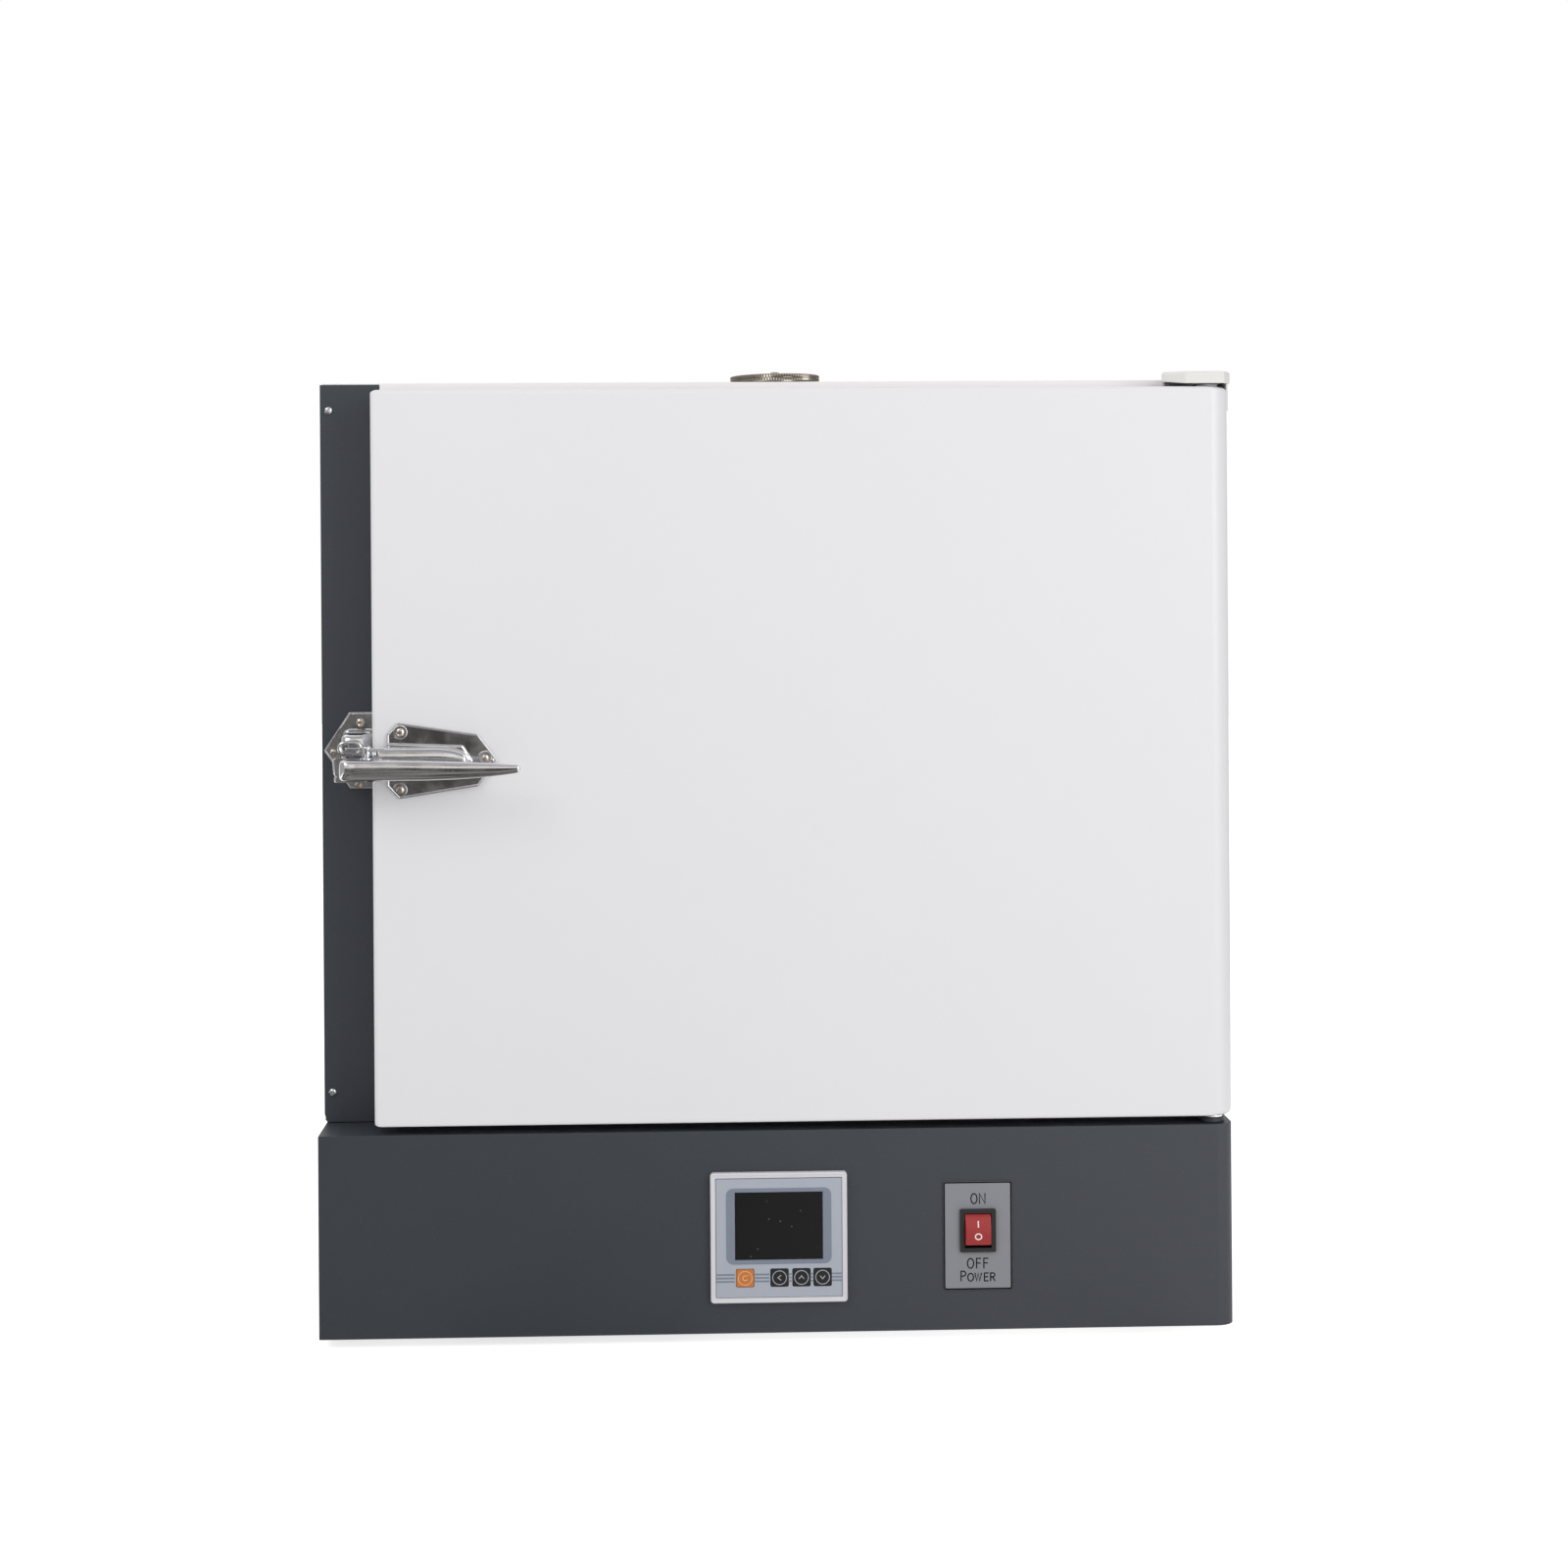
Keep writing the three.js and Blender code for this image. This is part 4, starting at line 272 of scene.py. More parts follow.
def metalMaterial(name, tone, stretch, scale, low, high, depth):
    material, tree = startMaterial(name)
    finish = placeGroup(tree, toneGroup, Colour=colour(*tone), Scale=14.0, Amount=0.12)["Colour"]
    grain = placeGroup(tree, grainGroup, Stretch=stretch, Scale=scale, Low=low, High=high)
    setShader(tree, Base_Color=finish, Roughness=grain["Roughness"], Metallic=1.0,
              Normal=bumpNode(tree, grain["Height"], 0.3, depth))
    return material


def chromeMaterial(name, tone, low, high):
    material, tree = startMaterial(name)
    finish = placeGroup(tree, toneGroup, Colour=colour(*tone), Scale=60.0, Amount=0.18)["Colour"]
    smudge = placeGroup(tree, smudgeGroup, Scale=70.0, Low=low, High=high)
    satin = placeGroup(tree, peelGroup, Scale=420.0, Fine_Share=0.5)["Height"]
    height = mathNode(tree, "ADD", mathNode(tree, "MULTIPLY", smudge["Height"], 6.0), satin)
    setShader(tree, Base_Color=finish, Roughness=smudge["Roughness"], Metallic=1.0,
              Normal=bumpNode(tree, height, 0.25, 0.045))
    return material


def woolMaterial(name, tone, dark):
    material, tree = startMaterial(name)
    fibres = placeGroup(tree, grainGroup, Stretch=(3.0, 1.0, 1.6), Scale=260.0, Low=0.85, High=1.0)
    setShader(tree, Base_Color=mixColours(tree, fibres["Height"], colour(*dark), colour(*tone)),
              Roughness=fibres["Roughness"], Normal=bumpNode(tree, fibres["Height"], 0.8, 1.5))
    return material


coats = {  # colour, drift and its scale, peel scale and depth, roughness, and what else differs
    "whiteCoat": ((229, 228, 231), 0.02, 6, 520, 0.05, 0.38, {"coat": 0.15}),
    # the same white paint made lighter for the roof: painted light over the shade the door casts on the roof
    # band
    "whiteCoatPaintedLighter": ((243, 240, 240), 0.02, 6, 520, 0.05, 0.38, {"coat": 0.15}),
    "darkCoat": ((54, 59, 67), 0.10, 22, 900, 0.09, 0.48, {"fleck": ((61, 66, 75), 0.08, 700)}),
    "warmPlastic": ((228, 226, 222), 0.03, 20, 900, 0.03, 0.42, {}),
    "framePlastic": ((216, 215, 219), 0.03, 30, 1500, 0.03, 0.45, {}),
    "overlayFilm": ((170, 176, 187), 0.03, 30, 2600, 0.02, 0.5, {}),
    "slateInk": ((124, 132, 148), 0.03, 30, 2600, 0.02, 0.5, {}),
    "screenGlass": ((22, 22, 24), 0.2, 30, 60, 0.01, 0.28,
                    {"fleck": ((84, 84, 88), 0.012, 620), "coat": 0.08, "specular": 0.22}),
    "blackPlastic": ((22, 23, 26), 0.1, 40, 1500, 0.04, 0.42, {}),
    "orangePlastic": ((200, 116, 46), 0.05, 60, 1800, 0.02, 0.45, {}),
    "redPlastic": ((158, 22, 28), 0.05, 60, 700, 0.01, 0.2, {"coat": 0.4}),
    "greyPlate": ((134, 135, 141), 0.04, 50, 2200, 0.03, 0.48, {}),
    "inkBlack": ((7, 7, 9), 0.08, 80, 2600, 0.02, 0.8, {"specular": 0.1}),
    "markWhite": ((245, 232, 230), 0.04, 80, 2600, 0.01, 0.4, {}),
    "ringSilver": ((176, 180, 186), 0.08, 80, 2600, 0.01, 0.45, {}),
    "ringAmber": ((232, 186, 140), 0.08, 80, 2600, 0.01, 0.45, {}),
    "rubber": ((28, 28, 29), 0.2, 60, 1200, 0.08, 0.8, {}),
    "silicone": ((170, 82, 62), 0.08, 40, 900, 0.05, 0.6, {}),
    "motorCast": ((92, 96, 100), 0.15, 60, 800, 0.15, 0.55, {}),
}
metals = {  # colour, stretch of the grain and its scale, lowest and highest roughness, depth
    "steelAcross": ((196, 197, 198), (0.02, 1.0, 1.0), 900, 0.26, 0.42, 0.03),
    "steelUp": ((196, 197, 198), (1.0, 1.0, 0.02), 900, 0.26, 0.42, 0.03),
    "steelDeep": ((196, 197, 198), (1.0, 0.02, 1.0), 900, 0.26, 0.42, 0.03),
    "zinc": ((166, 170, 173), (0.3, 0.3, 0.3), 220, 0.35, 0.6, 0.05),
    "heaterSheath": ((120, 116, 110), (1.0, 1.0, 0.4), 500, 0.4, 0.6, 0.05),
}
polishes = {  # colour, lowest and highest roughness
    "chrome": ((222, 223, 226), 0.07, 0.2), "agedNickel": ((148, 141, 132), 0.1, 0.24),
    "screwSteel": ((222, 210, 200), 0.14, 0.28),
}
materials = {name: coatMaterial(name, *row[:-1], **row[-1]) for name, row in coats.items()}
materials.update({name: metalMaterial(name, *row) for name, row in metals.items()})
materials.update({name: chromeMaterial(name, *row) for name, row in polishes.items()})
materials["wool"] = woolMaterial("wool", (222, 214, 190), (176, 164, 132))
print("materials ready")


# Pieces
def makeMesh(name, builder):
    mesh = bpy.data.meshes.new(name)
    builder.to_mesh(mesh)
    builder.free()
    return mesh


def finishMesh(name, builder, material, sharpAngle):
    mesh = makeMesh(name, builder)
    mesh.materials.append(materials[material])
    mesh.shade_smooth()
    if sharpAngle:
        mesh.set_sharp_from_angle(angle=math.radians(sharpAngle))
    return mesh


def finishPiece(name, builder, material, body, slot, bevel=0.0, segments=2, angle=32):
    # edges sharper than the angle are rounded where there is a bevel, and otherwise shaded as edges
    piece = addObject(name, finishMesh(name, builder, material, 0 if bevel else angle))
    if bevel:
        edges = piece.modifiers.new("roundedEdges", "BEVEL")
        edges.width = bevel * mm
        edges.segments = segments
        edges.limit_method = "ANGLE"
        edges.angle_limit = math.radians(angle)
        edges.miter_outer = "MITER_ARC"
    shading = piece.modifiers.new("evenShading", "WEIGHTED_NORMAL")
    shading.keep_sharp = True
    shading.weight = 90 if bevel else 50
    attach(piece, body)
    return piece


def camelName(node):
    first, *rest = node.split("_")
    return first + "".join(word.capitalize() for word in rest)


def standFor(node, builder, material, **finish):
    # a piece takes the place of a CAD node, on the same body
    piece = finishPiece(camelName(node), builder, material, nodes[node]["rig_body"], slots[node], **finish)
    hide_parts(node)
    return piece


def skinArea(builder):
    return sum((b.vert.co - a.vert.co).cross(c.vert.co - a.vert.co).length / 2
               for a, b, c in builder.calc_loop_triangles())


# sheets whose flat faces have openings, cut into convex ones before their edges are rounded
openFaced = {"air_baffle", "base_rear_panel", "power_inlet", "rear_cover", "shelf_rack_left",
             "shelf_rack_right", "switch_body", "switch_plate", "door_inner_panel", "door_gasket",
             "front_frame", "inner_liner"}
welding = {"reach": 0.002, "flatAngle": 0.5, "areaChange": 0.0005}


def dress(node, material, bevel, segments=2, angle=32):
    # a copy of a CAD node with its flat faces joined, rounded edges and smooth curves
    builder = bmesh.new()
    builder.from_mesh(nodes[node].data)
    bmesh.ops.remove_doubles(builder, verts=builder.verts, dist=welding["reach"] * mm)
    spare = builder.copy()
    bmesh.ops.dissolve_limit(builder, angle_limit=math.radians(welding["flatAngle"]), verts=builder.verts,
                             edges=builder.edges)
    if abs(skinArea(builder) / skinArea(spare) - 1) > welding["areaChange"]:
        builder, spare = spare, builder
    spare.free()
    if node in openFaced:
        large = [face for face in builder.faces if len(face.verts) > 4]
        bmesh.ops.connect_verts_concave(builder, faces=large)
    return standFor(node, builder, material, bevel=bevel, segments=segments, angle=angle)


def dressAll(*rows):
    for row in rows:
        dress(*row)


# Outlines
def arcPoints(centreA, centreB, radius, start, end, count):
    return [
        (centreA + radius * math.cos(math.radians(start + (end - start) * i / count)),
         centreB + radius * math.sin(math.radians(start + (end - start) * i / count)))
        for i in range(count + 1)
    ]


def wheel(count):
    # directions round a full turn
    return [(math.cos(2 * math.pi * i / count), math.sin(2 * math.pi * i / count)) for i in range(count)]


def turnSteps(degrees, count):
    return [math.radians(degrees * i / count) for i in range(count + 1)]


def roundedRectangle(left, right, low, high, radius, count=6):
    return (
        arcPoints(right - radius, low + radius, radius, -90, 0, count)
        + arcPoints(right - radius, high - radius, radius, 0, 90, count)
        + arcPoints(left + radius, high - radius, radius, 90, 180, count)
        + arcPoints(left + radius, low + radius, radius, 180, 270, count)
    )


def centredRectangle(x, z, halfX, halfZ, radius, count=6):
    return roundedRectangle(x - halfX, x + halfX, z - halfZ, z + halfZ, radius, count)


def corners(points):
    # each point of a closed outline between its neighbours
    points = [Vector(point) for point in points]
    return list(zip(points[-1:] + points[:-1], points, points[1:] + points[:1]))


def mitre(first, second, least):
    # the direction that halves a corner on its left, and how much of a step along it counts
    normal = Vector((-(first.y + second.y), first.x + second.x)).normalized()
    return normal, max(normal.dot(Vector((-first.y, first.x))), least)


def insetOutline(points, inset):
    # a convex outline, counter-clockwise, moved inwards by an even amount
    moved = []
    for before, here, after in corners(points):
        normal, share = mitre((here - before).normalized(), (after - here).normalized(), 0.35)
        moved.append(here + normal * (inset / share))
    return moved


def roundCorners(points, radius, steps=4):
    rounded = []
    for before, here, after in corners(points):
        start = here + (before - here).normalized() * radius
        end = here + (after - here).normalized() * radius
        for t in (k / steps for k in range(steps + 1)):
            rounded.append(start * (1 - t) ** 2 + here * 2 * t * (1 - t) + end * t ** 2)
    return rounded


# Solids
def loft(rings, closed=False):
    builder = bmesh.new()
    made = [[builder.verts.new(point) for point in ring] for ring in rings]
    count = len(made[0])
    for first, second in zip(made, made[1:] + (made[:1] if closed else [])):
        for i in range(count):
            j = (i + 1) % count
            builder.faces.new((first[i], first[j], second[j], second[i]))
    if not closed:
        builder.faces.new(made[0])
        builder.faces.new(made[-1])
    bmesh.ops.recalc_face_normals(builder, faces=builder.faces)
    return builder


def extrude(points, low, high, place):
    # a closed outline swept from low to high, where place(a, b, c) gives the point
    return loft([[place(a, b, c) for a, b in points] for c in (low, high)])


def revolve(profile, centre, axis, sides):
    # turns (radius, height) pairs about an axis through centre, where zero radius closes an end
    axis = Vector(axis).normalized()
    across = axis.orthogonal().normalized()
    other = axis.cross(across)
    builder = bmesh.new()
    rings = []
    for radius, height in profile:
        middle = centre + axis * height * mm
        spokes = wheel(sides) if radius else [(0, 0)]
        rings.append([builder.verts.new(middle + (across * u + other * v) * radius * mm) for u, v in spokes])
    for first, second in zip(rings, rings[1:]):
        for i in range(sides):
            j = (i + 1) % sides
            if len(first) == 1:
                builder.faces.new((first[0], second[i], second[j]))
            elif len(second) == 1:
                builder.faces.new((first[i], first[j], second[0]))
            else:
                builder.faces.new((first[i], first[j], second[j], second[i]))
    bmesh.ops.recalc_face_normals(builder, faces=builder.faces)
    return builder


def merge(*builders):
    target = bmesh.new()
    for builder in builders:
        part = makeMesh("part", builder)
        target.from_mesh(part)
        bpy.data.meshes.remove(part)
    return target


def flattenedTube(path, radius, sides, flat, flatAxis):
    # a rod along a path of points, scaled by flat along flatAxis
    flatAxis = Vector(flatAxis)
    rings = []
    for i, point in enumerate(path):
        along = (path[min(i + 1, len(path) - 1)] - path[max(i - 1, 0)]).normalized()
        side = along.cross(flatAxis).normalized()
        up = side.cross(along).normalized()
        rings.append([point + (side * u + up * v * flat) * radius * mm for u, v in wheel(sides)])
    return loft(rings)


def cutWith(builder, *tools):
    # closed meshes taken out of a closed mesh, as a new builder
    body, *blades = (addObject("cutPart", makeMesh("cutPart", part)) for part in (builder, *tools))
    for blade in blades:
        cut = body.modifiers.new("cut", "BOOLEAN")
        cut.operation = "DIFFERENCE"
        cut.solver = "EXACT"
        cut.object = blade
    bpy.context.view_layer.update()
    result = bmesh.new()
    result.from_mesh(body.evaluated_get(bpy.context.evaluated_depsgraph_get()).to_mesh())
    for item in (body, *blades):
        mesh = item.data
        bpy.data.objects.remove(item)
        bpy.data.meshes.remove(mesh)
    return result


def boxBuilder(low, high):
    builder = bmesh.new()
    bmesh.ops.create_cube(builder, size=1.0)
    for vertex in builder.verts:
        vertex.co = Vector([a + (share + 0.5) * size for a, share, size in zip(low, vertex.co, high - low)])
    return builder


# Screws: pan heads with a cross recess, made once for each size
panHead = {"sides": 28, "under": -0.4, "rimShare": 0.35, "armShare": 0.52, "slotShare": 0.14,
           "floorShare": 0.45, "sharpAngle": 40}
screwMeshes = {}


def panHeadMesh(radius, height, finish):
    rim = panHead["rimShare"]
    dome = [(0, panHead["under"]), (radius, panHead["under"]), (radius, height * rim)]
    dome += [(radius * math.cos(a), height * (rim + (1 - rim) * math.sin(a))) for a in turnSteps(90, 6)[1:-1]]
    arm, thin = radius * panHead["armShare"], radius * panHead["slotShare"]
    deep = height * panHead["floorShare"]
    recess = [boxBuilder(Vector((-a, -b, deep)) * mm, Vector((a, b, height + 1)) * mm)
              for a, b in ((arm, thin), (thin, arm))]
    head = revolve(dome + [(0, height)], Vector((0, 0, 0)), (0, 0, 1), panHead["sides"])
    return finishMesh("panHead", cutWith(head, *recess), finish, panHead["sharpAngle"])


def screw(name, centre, body, radius, height, turn, finish="screwSteel"):
    key = (radius, height, finish)
    if key not in screwMeshes:
        screwMeshes[key] = panHeadMesh(*key)
    piece = addObject(name, screwMeshes[key])
    facing = Vector((0, -1, 0)).to_track_quat("Z", "Y").to_matrix().to_4x4()
    piece.matrix_world = Matrix.Translation(centre) @ facing @ Matrix.Rotation(math.radians(turn), 4, "Z")
    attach(piece, body)


# Flat printed strokes, for words, symbols and lines
def strokes(name, paths, width, thickness, front, material, body, slot):
    # each path is (points, closed) in x and z, in millimetres; front is the y they stand on, or gives it
    half = width / 2
    standAt = front if callable(front) else (lambda x, z: front)
    parts = []
    for points, closed in paths:
        last = len(points) - 1
        rows = []
        for i, (before, here, after) in enumerate(corners(points)):
            first, second = (here - before).normalized(), (after - here).normalized()
            shift = Vector((0, 0))
            if not closed and i == 0:
                first = second
                shift = -first * half * 0.6
            if not closed and i == last:
                second = first
                shift = second * half * 0.6
            normal, share = mitre(first, second, 0.5)
            a = here + shift + normal * (half / share)
            b = here + shift - normal * (half / share)
            nearA, nearB = standAt(a.x, a.y), standAt(b.x, b.y)
            rows.append([at(a.x, nearA, a.y), at(b.x, nearB, b.y), at(b.x, nearB - thickness, b.y),
                         at(a.x, nearA - thickness, a.y)])
        parts.append(loft(rows, closed))
    return finishPiece(name, merge(*parts), material, body, slot)


def ellipse(x, z, radiusX, radiusZ, count=28):
    return [(x + radiusX * u, z + radiusZ * v) for u, v in wheel(count)], True


def letter(kind, x, z, width, height):
    # single-stroke capitals from their lower left corner
    right, top = x + width, z + height
    if kind == "O":
        return [ellipse(x + width / 2, z + height / 2, width / 2, height / 2)]
    if kind == "N":
        return [([(x, z), (x, top), (right, z), (right, top)], False)]
    if kind == "W":
        return [([(x, top), (x + width * 0.27, z), (x + width * 0.5, top), (x + width * 0.73, z),
                  (right, top)], False)]
    if kind in "EF":
        outer = [(x, z), (x, top), (right, top)]
        if kind == "E":
            outer = [(right, top), (x, top), (x, z), (right, z)]
        return [(outer, False), ([(x, z + height * 0.52), (x + width * 0.85, z + height * 0.52)], False)]
    bowl = height * 0.5
    paths = [([(x, z), (x, top)] + arcPoints(right - bowl / 2, top - bowl / 2, bowl / 2, 90, -90, 8)
              + [(x, top - bowl)], False)]
    if kind == "R":
        paths.append(([(x + width * 0.45, top - bowl), (right, z)], False))
    return paths


def frameBand(name, outer, inner, front, thickness, material, body, slot):
    # a flat band between two outlines that have as many points as each other
    rings = [[at(a, y, b) for a, b in outline] for outline, y in (
        (outer, front - thickness), (inner, front - thickness), (inner, front), (outer, front))]
    return finishPiece(name, loft(rings, closed=True), material, body, slot)


def middleOf(node):
    # x and z of a node's middle, in millimetres
    low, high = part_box(node)
    return ((low.x + high.x) / 2 - origin.x) / mm, (low.z + high.z) / 2 / mm


# Base: housing, floor, rear panel, feet and what shows inside
foot = {"sides": 40, "profile": ((0, 0.0), (10.0, 0.0), (11.2, 0.4), (11.8, 1.4), (13.6, 5.6), (13.8, 6.3),
                                 (13.2, 6.7), (0, 6.7))}
dressAll(("base_housing", "darkCoat", 0.8, 3), ("base_floor", "zinc", 0.3),
         ("base_rear_panel", "darkCoat", 0.3), ("power_inlet", "blackPlastic", 0.4))
for node in ("foot_front_left", "foot_front_right", "foot_rear_left", "foot_rear_right"):
    low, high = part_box(node)
    centre = Vector(((low.x + high.x) / 2, (low.y + high.y) / 2, 0))
    standFor(node, revolve(foot["profile"], centre, (0, 0, 1), foot["sides"]), "rubber")
dressAll(("heater_relay", "zinc", 0.3), ("terminal_block", "blackPlastic", 0.3))
print("base dressed")

# Controller
controller = {
    "x": -0.5, "z": 75.7, "bezelWidth": 97.2, "bezelHeight": 92.4, "bezelRadius": 2.4, "bezelSlant": 1.06,
    "bezelSteps": ((0, -0.3), (0, -4.3), (0.12, -4.8), (0.5, -5.2), (0.95, -5.3), (1.4, -5.2), (1.7, -4.95),
                   (2.9, -4.85), (3.45, -4.8), (3.65, -4.6), (3.68, -0.5)),
    "floorHalf": (45.2, 42.6), "floorSpan": (-1.5, -0.4), "filmFront": -5.1, "printDepth": 0.08,
    "surround": (-38.0, 36.8, 57.1, 111.0), "surroundRadius": 5.0, "surroundDepth": 0.12,
    "windowGap": 0.35, "windowRadius": 0.3,
    "keyRow": 47.4, "stripeRise": (2.44, 0.0, -2.44), "stripeHeight": 1.25,
    "stripeSpans": ((-44.6, -32.5), (-17.5, -7.8), (37.2, 43.6), (6.8, 7.8), (22.4, 23.4)),
    "keyFront": -5.4, "ringRadius": 4.9, "ringWidth": 0.5, "markWidth": 0.55, "markDepth": 0.06,
}
bezelRings = []
for inset, y in controller["bezelSteps"]:
    outline = centredRectangle(
        controller["x"], controller["z"], controller["bezelWidth"] / 2 - inset,
        controller["bezelHeight"] / 2 - inset * controller["bezelSlant"],
        max(controller["bezelRadius"] - inset, 0.4))
    bezelRings.append([at(a, y, b) for a, b in outline])
(floorX, floorZ), (floorFront, floorBack) = controller["floorHalf"], controller["floorSpan"]
bezelFloor = boxBuilder(at(controller["x"] - floorX, floorFront, controller["z"] - floorZ),
                        at(controller["x"] + floorX, floorBack, controller["z"] + floorZ))
standFor("controller_bezel", merge(loft(bezelRings, closed=True), bezelFloor), "framePlastic", angle=50)
dressAll(("controller_overlay", "overlayFilm", 0.12), ("display_window", "screenGlass", 0.25),
         ("controller_case", "blackPlastic", 0.6), ("key_set", "orangePlastic", 0.35, 3),
         ("key_left", "blackPlastic", 0.35, 3), ("key_up", "blackPlastic", 0.35, 3),
         ("key_down", "blackPlastic", 0.35, 3))

windowLow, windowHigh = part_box("display_window")
gap = controller["windowGap"]
frameBand(
    "displaySurround", roundedRectangle(*controller["surround"], controller["surroundRadius"]),
    roundedRectangle((windowLow.x - origin.x) / mm - gap, (windowHigh.x - origin.x) / mm + gap,
                     windowLow.z / mm - gap, windowHigh.z / mm + gap, controller["windowRadius"]),
    controller["filmFront"], controller["surroundDepth"], "slateInk", "cabinet", "grey_film")
stripes = [([(left, controller["keyRow"] + rise), (right, controller["keyRow"] + rise)], False)
           for rise in controller["stripeRise"] for left, right in controller["stripeSpans"]]
strokes("filmStripes", stripes, controller["stripeHeight"], controller["printDepth"], controller["filmFront"],
        "slateInk", "cabinet", "grey_film")


def keyGlyph(node, x, z):
    if node == "key_set":
        return [(arcPoints(x, z, 1.7, 60, 330, 12), False), ([(x + 0.9, z + 1.5), (x + 1.9, z + 2.1)], False)]
    if node == "key_left":
        return [([(x + 1.0, z + 1.7), (x - 1.2, z), (x + 1.0, z - 1.7)], False)]
    up = 1 if node == "key_up" else -1
    return [([(x - 1.7, z - 0.9 * up), (x, z + 1.2 * up), (x + 1.7, z - 0.9 * up)], False)]


for node in ("key_set", "key_left", "key_up", "key_down"):
    x, z = middleOf(node)
    circle = ellipse(x, z, controller["ringRadius"], controller["ringRadius"], 40)
    place = (controller["keyFront"], "ringAmber" if node == "key_set" else "ringSilver",
             nodes[node]["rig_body"], slots[node])
    strokes(camelName(node) + "Ring", [circle], controller["ringWidth"], controller["printDepth"], *place)
    strokes(camelName(node) + "Mark", keyGlyph(node, x, z), controller["markWidth"], controller["markDepth"],
            *place)
print("controller dressed")

# Power switch
switch = {
    "x": 141.4, "plateZ": 74.3, "width": 49.0, "height": 77.0, "plateFront": -1.3, "inkDepth": 0.06,
    "borderInsets": ((0.1, 1.4), (1.15, 0.8)), "strokeWidth": 0.85,
    "words": (("O", -4.7, 22.8, 4.3, 7.1), ("N", 1.3, 22.8, 4.0, 7.1),
              ("O", -7.5, -23.2, 4.4, 6.9), ("F", -1.0, -23.2, 3.0, 6.9), ("F", 4.2, -23.2, 3.0, 6.9),
              ("P", -12.1, -32.2, 3.3, 6.9), ("O", -7.3, -32.4, 4.0, 5.5), ("W", -2.2, -32.4, 4.6, 5.6),
              ("E", 4.6, -32.4, 2.7, 5.6), ("R", 9.0, -32.4, 3.0, 5.6)),
    "barRise": 4.6, "barLength": 4.9, "ringDrop": 4.0, "ringWide": 5.3, "ringHigh": 4.9, "markStroke": 0.85,
}
dressAll(("switch_plate", "greyPlate", 0.2), ("switch_body", "blackPlastic", 0.5, 3))
rocker = dress("power_rocker", "redPlastic", 0.6, 3, 40)
border = [centredRectangle(switch["x"], switch["plateZ"], switch["width"] / 2 - inset,
                           switch["height"] / 2 - inset, radius) for inset, radius in switch["borderInsets"]]
frameBand("switchBorder", *border, switch["plateFront"], switch["inkDepth"], "inkBlack", "cabinet",
          "grey_plate")
words = []
for kind, left, low, width, height in switch["words"]:
    words += letter(kind, switch["x"] + left, switch["plateZ"] + low, width, height)
strokes("switchWords", words, switch["strokeWidth"], switch["inkDepth"], switch["plateFront"], "inkBlack",
        "cabinet", "grey_plate")


def faceOf(piece):
    # gives the front surface's y at a place in x and z, in millimetres
    bpy.context.view_layer.update()
    shape = piece.evaluated_get(bpy.context.evaluated_depsgraph_get()).to_mesh()
    tree = BVHTree.FromPolygons([vertex.co for vertex in shape.vertices],
                                [face.vertices for face in shape.polygons])
    return lambda x, z: (tree.ray_cast(at(x, -60, z), Vector((0, 1, 0)))[0].y - origin.y) / mm


x, z = middleOf("power_rocker")
bar = [(x, z + switch["barRise"] + switch["barLength"] * (0.4 - i / 10)) for i in range(9)]
ring = ellipse(x, z - switch["ringDrop"], (switch["ringWide"] - switch["markStroke"]) / 2,
               (switch["ringHigh"] - switch["markStroke"]) / 2)
strokes("rockerMarks", [(bar, False), ring], switch["markStroke"], switch["inkDepth"], faceOf(rocker),
        "markWhite", "rocker", "red_plastic")
print("switch dressed")

# Cabinet sheets
dressAll(
    ("left_side_panel", "darkCoat", 0.5), ("right_side_panel", "whiteCoat", 0.5),
    # the roof takes the lighter copy of the white coat, as painted light
    ("top_panel", "whiteCoatPaintedLighter", 0.5), ("front_frame", "whiteCoat", 0.3), ("rear_cover", "whiteCoat", 0.3),
    ("rear_bulkhead", "zinc", 0.3), ("inner_liner", "steelAcross", 0.4), ("liner_rear", "steelUp", 0.3),
    ("door_gasket", "silicone", 1.6, 3),
)
for node in ("insulation_wrap", "insulation_rear", "door_insulation"):
    nodes[node].data.materials.clear()
    nodes[node].data.materials.append(materials["wool"])
column = {"front": 53.0, "screws": (("Top", -321.3, 667.5), ("Bottom", -321.5, 173.2)),
          "screwSize": (2.9, 1.8)}
for label, x, z in column["screws"]:
    screw("columnScrew" + label, at(x, column["front"], z), "cabinet", *column["screwSize"], 25, "chrome")
print("cabinet dressed")

# Vent: a collar on the roof and a knurled cap with turning ports
vent = {
    "x": 11.0, "y": 293.0, "capBottom": 702.0, "teeth": 100, "toothDepth": 0.6, "lean": 0.7,
    # radius, height, and 1 or 2 on knurled bands that are half a tooth apart
    "rim": ((34.6, 0.0, 0), (34.6, -0.9, 0), (35.5, -1.0, 0), (36.0, -0.6, 0), (36.0, 0.1, 0), (36.0, 0.3, 1),
            (36.0, 2.2, 1), (35.3, 2.4, 0), (35.3, 2.6, 0), (36.0, 2.8, 2), (36.0, 4.7, 2), (36.0, 4.9, 0),
            (35.6, 5.3, 0), (35.0, 5.5, 0), (24.0, 5.6, 0), (9.0, 5.6, 0)),
    "knob": ((0, 5.3), (4.8, 5.3), (4.8, 6.5), (4.4, 7.3), (3.6, 8.2), (2.2, 8.8), (0, 9.0)),
    "spindle": ((0, -5), (2.4, -5), (2.4, 0.2), (0, 0.2)),
    "port": ((0, -1), (6.5, -1), (6.5, 7), (0, 7)), "portCircle": 15.5, "portTurn": 45.0,
}
dress("vent_collar", "steelUp", 0.4)
capMiddle = at(vent["x"], vent["y"], vent["capBottom"])


